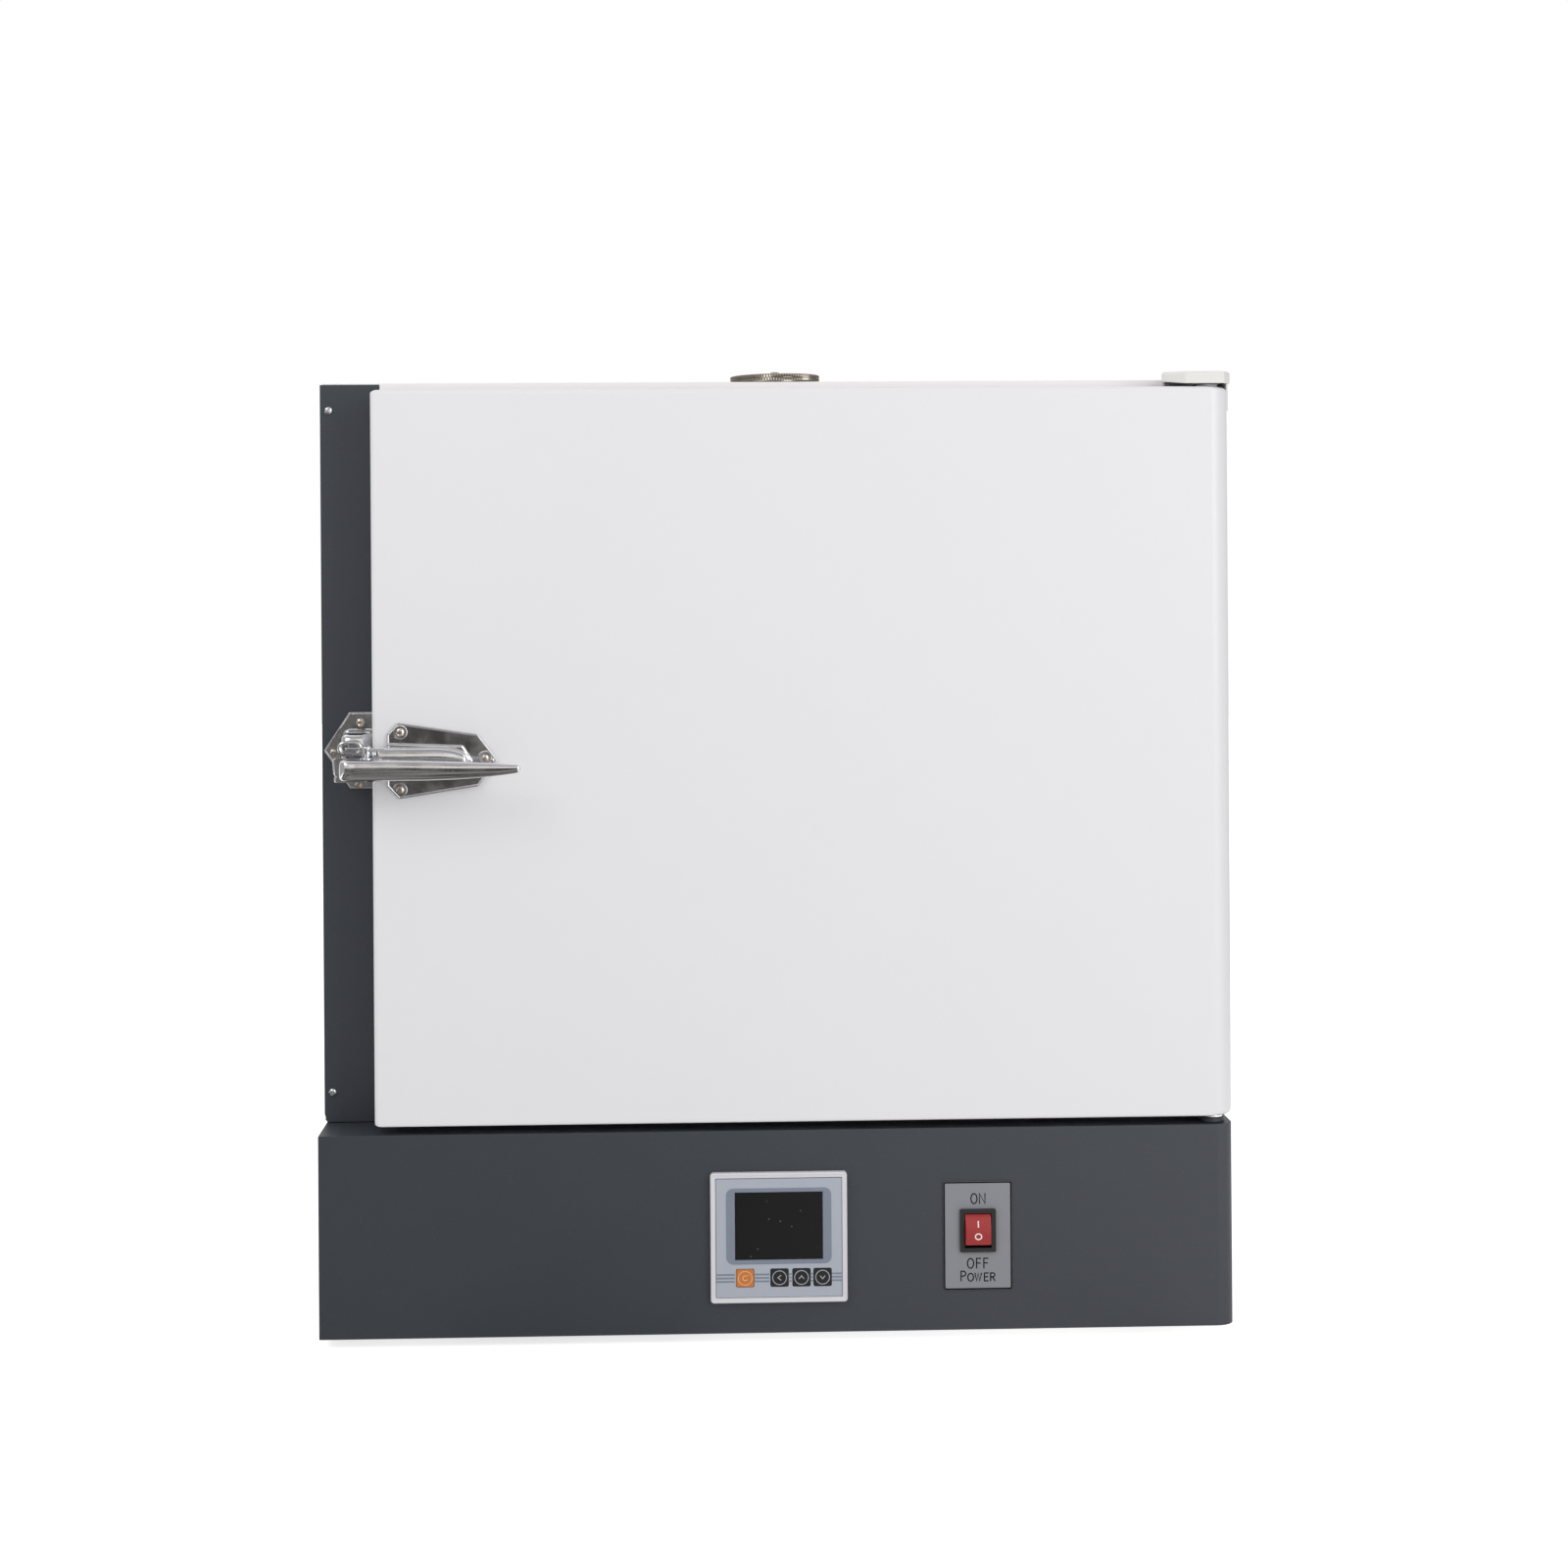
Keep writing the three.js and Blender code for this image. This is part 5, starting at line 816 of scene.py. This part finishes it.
def capRing(radius, rise, phase):
    ring = []
    steps = vent["teeth"] * 4
    for angle in (2 * math.pi * i / steps for i in range(steps)):
        wave = (0.5 + 0.5 * math.cos(angle * vent["teeth"] + math.pi * phase)) if phase else 0
        reach = radius - vent["toothDepth"] * wave
        across = reach * math.cos(angle)
        tilt = across * math.sin(math.radians(vent["lean"]))  # the cap sits a little askew
        ring.append(capMiddle + Vector((across, reach * math.sin(angle), rise + tilt)) * mm)
    return ring


ports = []
for angle in (math.radians(vent["portTurn"] + 90 * i) for i in range(4)):
    centre = capMiddle + Vector((math.cos(angle), math.sin(angle), 0)) * vent["portCircle"] * mm
    ports.append(revolve(vent["port"], centre, (0, 0, 1), 24))
capBody = cutWith(loft([capRing(*row) for row in vent["rim"]]), *ports)
capKnob = revolve(vent["knob"], capMiddle, (0, 0, 1), 32)
capSpindle = revolve(vent["spindle"], capMiddle, (0, 0, 1), 16)
standFor("vent_cap", merge(capBody, capKnob, capSpindle), "agedNickel", angle=40)
print("vent dressed")

# Chamber
dressAll(
    ("air_baffle", "steelUp", 0.0), ("heater_left", "heaterSheath", 0.0),
    ("heater_right", "heaterSheath", 0.0), ("fan_impeller", "steelDeep", 0.2),
    ("fan_shaft", "steelDeep", 0.2), ("fan_motor", "motorCast", 0.6), ("temperature_probe", "steelDeep", 0.3),
    ("shelf_rack_left", "steelUp", 0.2), ("shelf_rack_right", "steelUp", 0.2),
    ("wire_shelf_lower", "steelDeep", 0.0, 2, 50), ("wire_shelf_upper", "steelDeep", 0.0, 2, 50),
)
print("chamber dressed")

# Hinges and cover
dressAll(
    # the lower bracket takes the dark coat rather than zinc, as painted shade for the dark gap under the door
    ("hinge_bracket_upper", "zinc", 0.3), ("hinge_bracket_lower", "darkCoat", 0.3),
    ("hinge_pin_upper", "chrome", 0.3), ("hinge_pin_lower", "chrome", 0.3),
    ("hinge_washer", "framePlastic", 0.2),
)
hinge = {"x": 312.5, "y": 14.0}
cover = {
    "wall": 1.8, "round": 1.3, "top": 690.0, "bottom": 681.3, "roof": 1.6,
    "plan": ((16.05, 38.7), (-25.5, 38.7), (-33.2, -3.6), (-17.5, -13.5), (10.4, -13.5), (16.05, -4.2)),
    "edge": ((0.0, 2.4), (0.18, 1.55), (0.6, 0.75), (1.25, 0.22), (2.0, 0.0)),
    "foot": ((1.8, 0.0), (0.5, 0.0), (0.1, 0.3)), "rise": 1.7, "riseFrom": -17.5, "riseSpan": 15.0,
    "skirt": (14.4, 16.05, 4.0, 38.7, 0.6, 4), "skirtSpan": (662.2, 683.5),
}


def nearHinge(x, y, z):
    return at(hinge["x"] + x, hinge["y"] + y, z)


def coverRing(inset, z, low=False):
    ring = []
    for point in roundCorners(insetOutline(cover["plan"], inset), max(cover["round"] - inset, 0.3)):
        lift = min(max((cover["riseFrom"] - point.x) / cover["riseSpan"], 0.0), 1.0) * cover["rise"]
        ring.append(nearHinge(point.x, point.y, z + lift if low else z))
    return ring


coverRings = [coverRing(cover["wall"], cover["top"] - cover["roof"])]
coverRings += [coverRing(inset, cover["bottom"] + rise, True) for inset, rise in cover["foot"]]
coverRings += [coverRing(inset, cover["top"] - drop) for inset, drop in cover["edge"]]
coverSkirt = extrude(roundedRectangle(*cover["skirt"]), *cover["skirtSpan"], nearHinge)
standFor("hinge_cover", merge(loft(coverRings), coverSkirt), "warmPlastic", angle=28)
print("hinges dressed")

# Door
door = {
    "left": -286.2, "right": 326.5, "low": 156.8, "high": 679.2, "back": 48.0, "sheet": 1.5, "lip": 16.0,
    "edgeRadius": 3.0, "lowRadius": 1.7, "leftRadius": 3.0, "rightRadius": 14.0,
    "leftCorner": 2.6, "rightCorner": 4.4, "levels": (2.3, 3.1, 4.4), "highLevels": (4.4, 3.6),
    "openDepth": 4, "boreRadius": 4.3, "boreSpan": (-2, 4), "bossRadius": 8.0, "bossSpan": (1, 20.0),
}


def cornerTuck(z, radius):
    # how far a side stands back near the door's lower and upper edges, for rounded outer corners
    away = radius - min(max(min(z - door["low"], door["high"] - z), 0.0), radius)
    return radius - math.sqrt(radius ** 2 - away ** 2)


def doorRing(inset, z, back):
    leftRadius = max(door["leftRadius"] - inset, 0.3)
    rightRadius = max(door["rightRadius"] - inset, 0.3)
    left = door["left"] + inset + cornerTuck(z, door["leftCorner"])
    right = door["right"] - inset - cornerTuck(z, door["rightCorner"])
    plan = [(right, back), (left, back)]
    plan += arcPoints(left + leftRadius, inset + leftRadius, leftRadius, 180, 270, 8)
    plan += arcPoints(right - rightRadius, inset + rightRadius, rightRadius, -90, 0, 16)
    return [at(x, y, z) for x, y in plan]


def doorBlock(inset, back):
    radius = door["edgeRadius"] - inset
    lowRadius = max(door["lowRadius"] - inset, 0.2)
    low, high = door["low"] + inset, door["high"] - inset
    turns = turnSteps(90, 6)
    rings = [(inset + lowRadius * (1 - math.sin(a)), low + lowRadius * (1 - math.cos(a))) for a in turns]
    rings += [(inset, low + step) for step in door["levels"]]
    rings += [(inset, high - step) for step in door["highLevels"]]
    rings += [(inset + radius * (1 - math.sin(a)), high - radius * (1 - math.cos(a))) for a in turns[::-1]]
    return loft([doorRing(reach, level, back) for reach, level in rings])


def aboutHinge(profile):
    return revolve(profile, nearHinge(0, 0, 0), (0, 0, 1), 24)


doorTools = [
    doorBlock(door["sheet"], door["back"] - door["sheet"]),
    boxBuilder(at(door["left"] + door["lip"], door["back"] - door["openDepth"], door["low"] + door["lip"]),
               at(door["right"] - door["lip"], door["back"] + door["openDepth"], door["high"] - door["lip"])),
]
doorBosses = []
bore, boss = door["boreRadius"], door["bossRadius"]
for end, way in ((door["low"], 1), (door["high"], -1)):
    low, high = sorted(end + way * reach for reach in door["boreSpan"])
    doorTools.append(aboutHinge([(0, low), (bore, low), (bore, high), (0, high)]))
    low, high = sorted(end + way * reach for reach in door["bossSpan"])
    doorBosses.append(aboutHinge([(bore, low), (boss, low), (boss, high), (bore, high)]))
doorSkin = cutWith(doorBlock(0.0, door["back"]), *doorTools)
standFor("door_shell", merge(doorSkin, *doorBosses), "whiteCoat", angle=30)
dress("door_inner_panel", "steelAcross", 0.8, 3)
print("door dressed")

# Latch base: a pressed plate with a raised pad and dome, two ears, a barrel and a rivet
pin = {"x": -288.8, "y": -10.0, "z": 416.2}
latch = {
    "plate": ((13.3, -17.9), (21.8, -27.0), (78.0, -18.2), (91.3, 0.0), (77.4, 18.7), (20.8, 27.3),
              (13.3, 18.9)),
    "plateSteps": ((0.0, 9.7), (0.0, 7.8), (0.12, 7.4), (0.45, 7.15), (0.85, 7.15), (1.2, 7.4), (1.6, 7.5),
                   (2.1, 7.5)),
    "pad": ((13.6, -13.3), (67.0, -11.2), (74.4, 0.0), (67.0, 11.2), (13.6, 13.3)),
    "padSteps": ((0.0, 7.6), (0.15, 6.9), (0.6, 6.35), (1.3, 6.05), (1.8, 6.0), (2.2, 6.0)),
    "round": 1.2, "ears": ((6.3, 10.6), (-14.0, -11.9)), "earPath": (13.0, 9.0, 5.0, 1.0, 0.0),
    "earRadius": 3.4,
    "barrel": ((0, 3.5), (2.7, 3.5), (3.4, 4.1), (3.4, 10.0), (2.9, 10.8), (1.9, 11.3), (0, 11.5)),
    "rivet": (5.4, -2.0, 5.6), "rivetRadius": 2.2, "rivetDepth": -4,
    "dish": ((0, 0.03), (3.4, 0.03), (4.1, 0.09), (4.4, 0.09), (5.1, 0.0), (5.4, -0.4), (0, -0.6)),
    "face": 7.5, "screwFace": 7.2, "screwHeight": 1.5,
    "screws": (("Upper", 22.8, 20.4, 2.9), ("Lower", 22.5, -20.3, 2.9), ("Tip", 82.7, 1.9, 2.4)),
    "smallScrew": (87.6, 7.4, 0.2), "smallScrewSize": (1.5, 1.0),
}
dome = {
    "left": 7.6, "straight": 46.0, "tip": 71.6, "half": 10.3, "tipPower": 0.7, "back": 7.0, "front": -5.0,
    "radius": 8.0, "narrow": 0.88, "short": 0.1, "shift": 1.8, "shoulder": 0.62,
    "turns": (0, 4, 9, 16, 24, 33, 43, 54, 65, 74, 82, 87),
}


def nearPin(x, y, z):
    # millimetres from the lever's pin
    return at(pin["x"] + x, pin["y"] + y, pin["z"] + z)


def nearPinUpright(x, z, y):
    return nearPin(x, y, z)


def pressed(points, steps, radius):
    # a sheet whose outline draws in step by step, as its rim is pressed
    return loft([
        [nearPin(p.x, y, p.y) for p in roundCorners(insetOutline(points, inset), max(radius - inset, 0.2))]
        for inset, y in steps
    ])


def domeOutline():
    upper = [(dome["left"] + (dome["straight"] - dome["left"]) * i / 6, dome["half"]) for i in range(6)]
    upper += [(dome["straight"] + (dome["tip"] - dome["straight"]) * math.sin(math.radians(a)),
               dome["half"] * math.cos(math.radians(a)) ** dome["tipPower"]) for a in range(0, 90, 6)]
    return [(x, -z) for x, z in upper] + [(dome["tip"], 0.0)] + upper[::-1]


domeRings = [[nearPin(x, dome["back"], z) for x, z in domeOutline()]]
for turn in (math.radians(degrees) for degrees in dome["turns"]):
    tuck = 1 - math.cos(turn) ** dome["shoulder"]
    y = dome["front"] + dome["radius"] * (1 - math.sin(turn) ** dome["shoulder"])
    left = dome["left"] + dome["shift"] * tuck
    domeRings.append([
        nearPin(left + (x - dome["left"]) * (1 - dome["short"] * tuck), y, z * (1 - dome["narrow"] * tuck))
        for x, z in domeOutline()])
baseParts = [pressed(latch["plate"], latch["plateSteps"], latch["round"]),
             pressed(latch["pad"], latch["padSteps"], latch["round"]), loft(domeRings)]
for low, high in latch["ears"]:
    path = [nearPin(x, 0, (low + high) / 2) for x in latch["earPath"]]
    flat = (high - low) / 2 / latch["earRadius"]
    baseParts.append(flattenedTube(path, latch["earRadius"], 20, flat, (0, 0, 1)))
baseParts.append(revolve(latch["barrel"], nearPin(0, 0, 0), (0, 0, 1), 32))
radius, deep = latch["rivetRadius"], latch["rivetDepth"]
rivet = [(0, deep), (radius, deep), *arcPoints(0, 0, radius, 0, 75, 5), (0, radius)]
baseParts.append(revolve(rivet, nearPin(*latch["rivet"]), (0, -1, 0), 24))
for _, x, z, _ in latch["screws"]:
    baseParts.append(revolve(latch["dish"], nearPin(x, latch["face"], z), (0, -1, 0), 32))
standFor("latch_base", merge(*baseParts), "chrome", bevel=0.3, angle=50)
for label, x, z, size in latch["screws"]:
    screw("latchScrew" + label, nearPin(x, latch["screwFace"], z), "door", size, latch["screwHeight"], 20)
screw("latchScrewSmall", nearPin(*latch["smallScrew"]), "door", *latch["smallScrewSize"], 40)
dress("latch_pin", "chrome", 0.3, 3)

# Lever: a bent handle with a rounded left end and tip, on a hub and a web
lever = {
    "left": -17.2, "top": 2.9, "drop": 4.3, "dropPower": 2.2, "bottom": -12.0, "belly": (40.0, -11.8),
    "curve": (82.0, -11.4), "tip": (109.2, -6.4), "front": -26.0, "tipFront": -28.4, "back": -15.5,
    "tipBack": -24.0, "thinFrom": 0.2, "thinPower": 1.3,
    "turns": ((0.0, 88), (0.05, 60), (0.11, 30), (0.24, 13), (0.40, 2), (0.86, -12), (0.95, -45), (1.0, -85)),
    "faceSteps": 34, "faceGap": 1.4, "backEdge": ((1.1, 0.0), (0.3, 0.02), (0.0, 0.08)),
    "corner": 6.0, "squeeze": 3.0, "squeezePower": 1.3, "tipRound": 2.3, "tipShrink": 0.9, "stations": 40,
    "hub": ((2.2, -11.1), (4.7, -11.1), (5.0, -10.8), (5.0, 2.7), (4.7, 3.0), (2.2, 3.0), (2.2, -11.1)),
    "web": ((-5, -2.4), (-5, -16), (-9, -16), (-9, -9.8), (-13.4, -9.8), (-15.2, -12.4), (-15.2, -19),
            (-9, -22), (8, -22), (10, -15.7), (5, -5), (4.6, -2.4)), "webSpan": (-10.4, 2.3),
}
leverReach = lever["tip"][0] - lever["left"]


def leverStation(t):
    # x, top, bottom, front and back, where t runs from 0 at the lever's left end to 1 at its tip
    def bend(place, axis):
        a, b, c = (lever[name][axis] for name in ("belly", "curve", "tip"))
        return (1 - place) ** 2 * a + 2 * place * (1 - place) * b + place ** 2 * c
    bellyX, bellyZ = lever["belly"]
    x = lever["left"] + leverReach * t
    top = lever["top"] - lever["drop"] * t ** lever["dropPower"]
    if x <= bellyX:
        bottom = lever["bottom"] + (bellyZ - lever["bottom"]) * (x - lever["left"]) / (bellyX - lever["left"])
    else:
        low, high = 0.0, 1.0
        for _ in range(24):
            middle = (low + high) / 2
            low, high = (middle, high) if bend(middle, 0) < x else (low, middle)
        bottom = bend(low, 1)
    front = lever["front"] + (lever["tipFront"] - lever["front"]) * t
    thinning = max(0.0, (t - lever["thinFrom"]) / (1 - lever["thinFrom"])) ** lever["thinPower"]
    return x, top, bottom, front, lever["back"] + (lever["tipBack"] - lever["back"]) * thinning


def leverProfile(count):
    # the face from top to bottom: how far down, and how far behind its foremost line, for a height of 1
    def slope(down):
        for (a, first), (b, second) in zip(lever["turns"], lever["turns"][1:]):
            if down <= b:
                return math.tan(math.radians(first + (second - first) * (down - a) / (b - a)))
        return 0.0
    places = [0.5 - 0.5 * math.cos(math.pi * i / count) for i in range(count + 1)]
    depths = [0.0]
    for a, b in zip(places, places[1:]):
        depths.append(depths[-1] - sum(slope(a + (b - a) * (k + 0.5) / 6) for k in range(6)) / 6 * (b - a))
    nearest = min(depths)
    return [(down, depth - nearest) for down, depth in zip(places, depths)]


leverFace = leverProfile(lever["faceSteps"])


def leverRing(x, top, bottom, front, back):
    height = top - bottom
    deep = max(depth for _, depth in leverFace) * height
    scale = min(1.0, (back - front - lever["faceGap"]) / deep)
    ring = [nearPin(x, front + depth * height * scale, top - down * height) for down, depth in leverFace]
    ring += [nearPin(x, back - ahead, bottom + height * share) for ahead, share in lever["backEdge"]]
    ring += [nearPin(x, back - ahead, top - height * share) for ahead, share in lever["backEdge"][::-1]]
    return ring


leverRings = []
for turn in turnSteps(90, 8):
    x = lever["left"] + lever["corner"] * (1 - math.cos(turn))
    _, top, bottom, front, back = leverStation((x - lever["left"]) / leverReach)
    squeeze = lever["squeeze"] * (1 - math.sin(turn)) ** lever["squeezePower"]
    front = lever["front"] + lever["corner"] * (1 - math.sin(turn))
    leverRings.append(leverRing(x, top - squeeze, bottom + squeeze, front, back))
startAt, tipLength = lever["corner"] / leverReach, lever["tipRound"] / leverReach
for k in range(1, lever["stations"] + 1):
    leverRings.append(leverRing(*leverStation(startAt + (1 - tipLength - startAt) * k / lever["stations"])))
for turn in turnSteps(90, 8)[1:-1]:
    x, top, bottom, front, back = leverStation(1 - tipLength + tipLength * math.sin(turn))
    shrink = (1 - math.cos(turn)) * lever["tipShrink"]
    middle, depth = (top + bottom) / 2, (front + back) / 2
    leverRings.append(leverRing(x, *(edge + (centre - edge) * shrink for edge, centre in (
        (top, middle), (bottom, middle), (front, depth), (back, depth)))))
hub = revolve(lever["hub"], nearPin(0, 0, 0), (0, 0, 1), 36)
bmesh.ops.remove_doubles(hub, verts=hub.verts, dist=0.001 * mm)
web = extrude(lever["web"], *lever["webSpan"], nearPin)
standFor("latch_lever", merge(loft(leverRings), hub, web), "chrome", angle=50)

hook = {
    # height, and where the hook's left side stands there
    "left": ((-13.9, -20.8), (-13.5, -21.8), (-12.8, -22.2), (-10.6, -22.2), (-9.9, -21.9), (-9.4, -21.5),
             (-8.9, -21.8), (-8.3, -22.3), (-7.2, -22.7), (-2.0, -23.1), (1.8, -23.4), (2.7, -23.2),
             (3.1, -22.6)),
    "wall": 3.0, "rear": 12.0, "rearRound": 1.2, "front": -9.2, "strap": (-5.3, -6.2), "round": 2.2,
}


def hookRing(z, left):
    wall, rear, front, radius = hook["wall"], hook["rear"], hook["front"], hook["round"]
    right, strapBack = hook["strap"]
    plan = [(right, front), (right, strapBack), (left + wall, strapBack), (left + wall, rear)]
    plan += [(left + wall * (0.5 + 0.5 * math.cos(a)), rear + hook["rearRound"] * math.sin(a))
             for a in turnSteps(180, 6)[1:-1]]
    plan += [(left, rear)] + arcPoints(left + radius, front + radius, radius, 180, 270, 6)
    return [nearPin(x, y, z) for x, y in plan]


standFor("latch_hook", loft([hookRing(*row) for row in hook["left"]]), "chrome", angle=45)

# Keeper on the column: a pressed plate with a raised bridge, and a loop with bars before it
keeper = {
    "plate": ((-37.4, 4.8), (-18.9, -23.0), (3.1, -23.0), (3.1, 32.6), (-18.9, 32.6)), "round": 1.0,
    "plateSteps": ((0.0, 62.7), (0.0, 61.1), (0.15, 60.8), (0.5, 60.6), (0.9, 60.6), (1.25, 60.8),
                   (1.6, 60.85), (2.1, 60.85)),
    "bridge": (  # y, left, right, low, high
        (60.9, -23.6, 1.6, -15.3, 20.6), (60.0, -22.6, 0.6, -14.3, 19.6), (58.5, -22.0, 0.0, -13.7, 19.0),
        (38.0, -22.0, 0.0, -13.7, 19.0), (35.4, -21.8, -0.5, -13.5, 18.8), (33.2, -21.3, -1.6, -13.0, 18.1),
        (31.4, -20.5, -3.2, -12.2, 16.9), (30.3, -19.3, -5.0, -11.0, 15.2), (29.8, -18.0, -6.6, -9.8, 13.6)),
    "bridgeRound": 5.0, "loopCentre": (-12.9, 9.2), "loopHalf": (9.0, 5.2), "loopY": 10.0, "loopRod": 1.5,
    "floorSpan": (11.0, 12.6), "bars": ((-15.0, -6.8, 11.9, 1.35), (-16.6, -5.4, 8.9, 1.2)), "barY": 10.2,
    "rail": ((-23.2, 3.6), (-4.2, 3.6), (-4.2, 6.6), (-20.2, 6.6), (-23.0, 5.0)), "railSpan": (8.6, 31.0),
    "stemReach": (6, 3.2, 3.6), "stemRound": 1.2, "stemSpan": (11.5, 31.0), "screwFace": 60.7,
    "screws": (("Upper", -10.7, 25.1, 3.0), ("Left", -30.6, 3.8, 2.2), ("Lower", -12.2, -19.7, 2.8)),
    "screwHeight": 1.7,
}
bridgeRings = []
for y, left, right, low, high in keeper["bridge"]:
    outline = roundedRectangle(left, right, low, high, min(keeper["bridgeRound"], (right - left) / 2 - 0.1))
    bridgeRings.append([nearPin(a, y, b) for a, b in outline])
(loopX, loopZ), (halfX, halfZ), rod = keeper["loopCentre"], keeper["loopHalf"], keeper["loopRod"]
racetrack = centredRectangle(loopX, loopZ, halfX - rod, halfZ - rod, halfZ - rod - 0.05, 8)
loopRings = []
for before, here, after in corners(racetrack):
    along = (after - before).normalized()
    loopRings.append([
        nearPin(here.x + along.y * rod * u, keeper["loopY"] + rod * v, here.y - along.x * rod * u)
        for u, v in wheel(12)])
keeperParts = [pressed(keeper["plate"], keeper["plateSteps"], keeper["round"]), loft(bridgeRings),
               loft(loopRings, closed=True), extrude(racetrack, *keeper["floorSpan"], nearPinUpright)]
for left, right, z, radius in keeper["bars"]:
    ends = [(0, -radius)] + arcPoints(0, 0, radius, -72, 0, 4)
    ends += [(reach, right - left - 2 * radius - height) for reach, height in ends[::-1]]
    keeperParts.append(revolve(ends, nearPin(left + radius, keeper["barY"], z), (1, 0, 0), 20))
stemX, stemLow, stemHigh = keeper["stemReach"]
stem = roundedRectangle(loopX - stemX, loopX + stemX, loopZ - stemLow, loopZ + stemHigh, keeper["stemRound"])
keeperParts += [extrude(keeper["rail"], *keeper["railSpan"], nearPinUpright),
                extrude(stem, *keeper["stemSpan"], nearPinUpright)]
standFor("latch_keeper", merge(*keeperParts), "chrome", bevel=0.3, angle=50)
for label, x, z, size in keeper["screws"]:
    centre = nearPin(x, keeper["screwFace"], z)
    screw("keeperScrew" + label, centre, "cabinet", size, keeper["screwHeight"], 30)
print("latch dressed")

# Studio: lamps, world, floor, and cards that only reflections show
studio = {
    "worldLight": 0.66, "floorTone": 0.86, "floorLift": 0.72, "floorHalf": 9, "aim": (0, 0, 0.35),
    "lamps": (("left", (-1.5, -1.9, 2.1), (1.2, 1.2), 14.0), ("right", (1.6, -2.5, 1.2), (1.2, 1.6), 19.0),
              ("top", (0.2, -0.4, 2.6), (2.0, 2.0), 3.0)),
}
for label, place, size, energy in studio["lamps"]:
    lampData = bpy.data.lights.new(label + "Lamp", "AREA")
    lampData.shape = "RECTANGLE"
    lampData.size, lampData.size_y = size
    lampData.energy = energy
    aim = (Vector(studio["aim"]) - Vector(place)).to_track_quat("-Z", "Y").to_matrix().to_4x4()
    addObject(label + "Lamp", lampData).matrix_world = Matrix.Translation(Vector(place)) @ aim


def seenDirectly(tree):
    # 1 for what the camera, mirrors and glass show, and 0 for the light on matt faces
    path = addNode(tree, "LightPath", {}).outputs
    seen = mathNode(tree, "MAXIMUM", path["Is Camera Ray"], path["Is Glossy Ray"])
    return mathNode(tree, "MAXIMUM", seen, path["Is Transmission Ray"])


world = bpy.data.worlds.new("studioWorld")
world.use_nodes = True
bpy.context.scene.world = world
worldTree = world.node_tree
worldTree.nodes.clear()
dim, bright = (addNode(worldTree, "Background", {"Color": (1, 1, 1, 1), "Strength": strength}).outputs[0]
               for strength in (studio["worldLight"], 1.0))
backdrop = addNode(worldTree, "MixShader", {0: seenDirectly(worldTree), 1: dim, 2: bright})
addNode(worldTree, "OutputWorld", {"Surface": backdrop.outputs[0]})


def flatSheet(name, points, material):
    mesh = bpy.data.meshes.new(name)
    mesh.from_pydata(points, [], [(0, 1, 2, 3)])
    mesh.materials.append(material)
    return addObject(name, mesh)


floorMaterial, floorTree = startMaterial("floorPaper")
lift = mathNode(floorTree, "MULTIPLY", seenDirectly(floorTree), studio["floorLift"])
setShader(floorTree, Base_Color=(studio["floorTone"],) * 3 + (1,), Roughness=0.9, Specular_IOR_Level=0.1,
          Emission_Color=(1, 1, 1, 1), Emission_Strength=lift)
edge = studio["floorHalf"]
floorCorners = [(-edge, -edge, 0), (edge, -edge, 0), (edge, edge, 0), (-edge, edge, 0)]
flatSheet("floor", floorCorners, floorMaterial)

# cards around the object give bright metal and dark paint something to mirror
cards = {
    "wall": ((-2.4, -2.75, 0.0), (0.9, -2.75, 0.0), (0.9, -2.75, 2.2), (-2.4, -2.75, 2.2)),
    "table": ((-2.4, -2.75, 0.004), (0.9, -2.75, 0.004), (0.6, -0.06, 0.004), (-1.6, -0.06, 0.004)),
    "flank": ((1.3, -0.9, 0.0), (1.3, 1.4, 0.0), (1.3, 1.4, 1.6), (1.3, -0.9, 1.6)),
    "leftFlank": ((-2.4, 1.5, 0.0), (-2.4, -2.75, 0.0), (-2.4, -2.75, 2.2), (-2.4, 1.5, 2.2)),
    "ceiling": ((-2.4, -2.75, 2.2), (0.9, -2.75, 2.2), (0.9, -0.4, 2.5), (-2.4, -0.4, 2.5)),
}
cardLook = {
    "tint": (1.0, 0.95, 0.9, 1), "rise": (0.28, 1.3, 0.21, 1.08), "side": (-0.25, 0.5, 0.0, 0.8),
    "patchScale": (9.0, 1.2, 1.6), "patch": (0.36, 0.6, 0.3, 1.35), "flankGlow": 0.42,
}
softCard, softTree = startMaterial("softCard")
axes = addNode(softTree, "SeparateXYZ", {0: objectPlace(softTree)}).outputs
clouds = noiseNode(softTree, stretchedPlace(softTree, cardLook["patchScale"]), 1.0, 1.0)
rise, side, patch = (spreadNode(softTree, value, cardLook[name], interpolation_type="SMOOTHSTEP")
                     for value, name in ((axes[2], "rise"), (axes[0], "side"), (clouds, "patch")))
glow = mathNode(softTree, "ADD", mathNode(softTree, "MULTIPLY", rise, patch), side)
setShader(softTree, Base_Color=(0, 0, 0, 1), Roughness=1.0, Specular_IOR_Level=0.0,
          Emission_Color=cardLook["tint"], Emission_Strength=mathNode(softTree, "MINIMUM", glow, 1.0))
flankCard, flankTree = startMaterial("flankCard")
setShader(flankTree, Base_Color=(0, 0, 0, 1), Specular_IOR_Level=0.0, Emission_Color=(1, 1, 1, 1),
          Emission_Strength=cardLook["flankGlow"])
for label, points in cards.items():
    card = flatSheet(label + "Card", points, softCard if label in ("wall", "table") else flankCard)
    card.visible_camera = False
    card.visible_diffuse = False
    card.visible_shadow = False
    card.visible_transmission = False
print("studio ready")
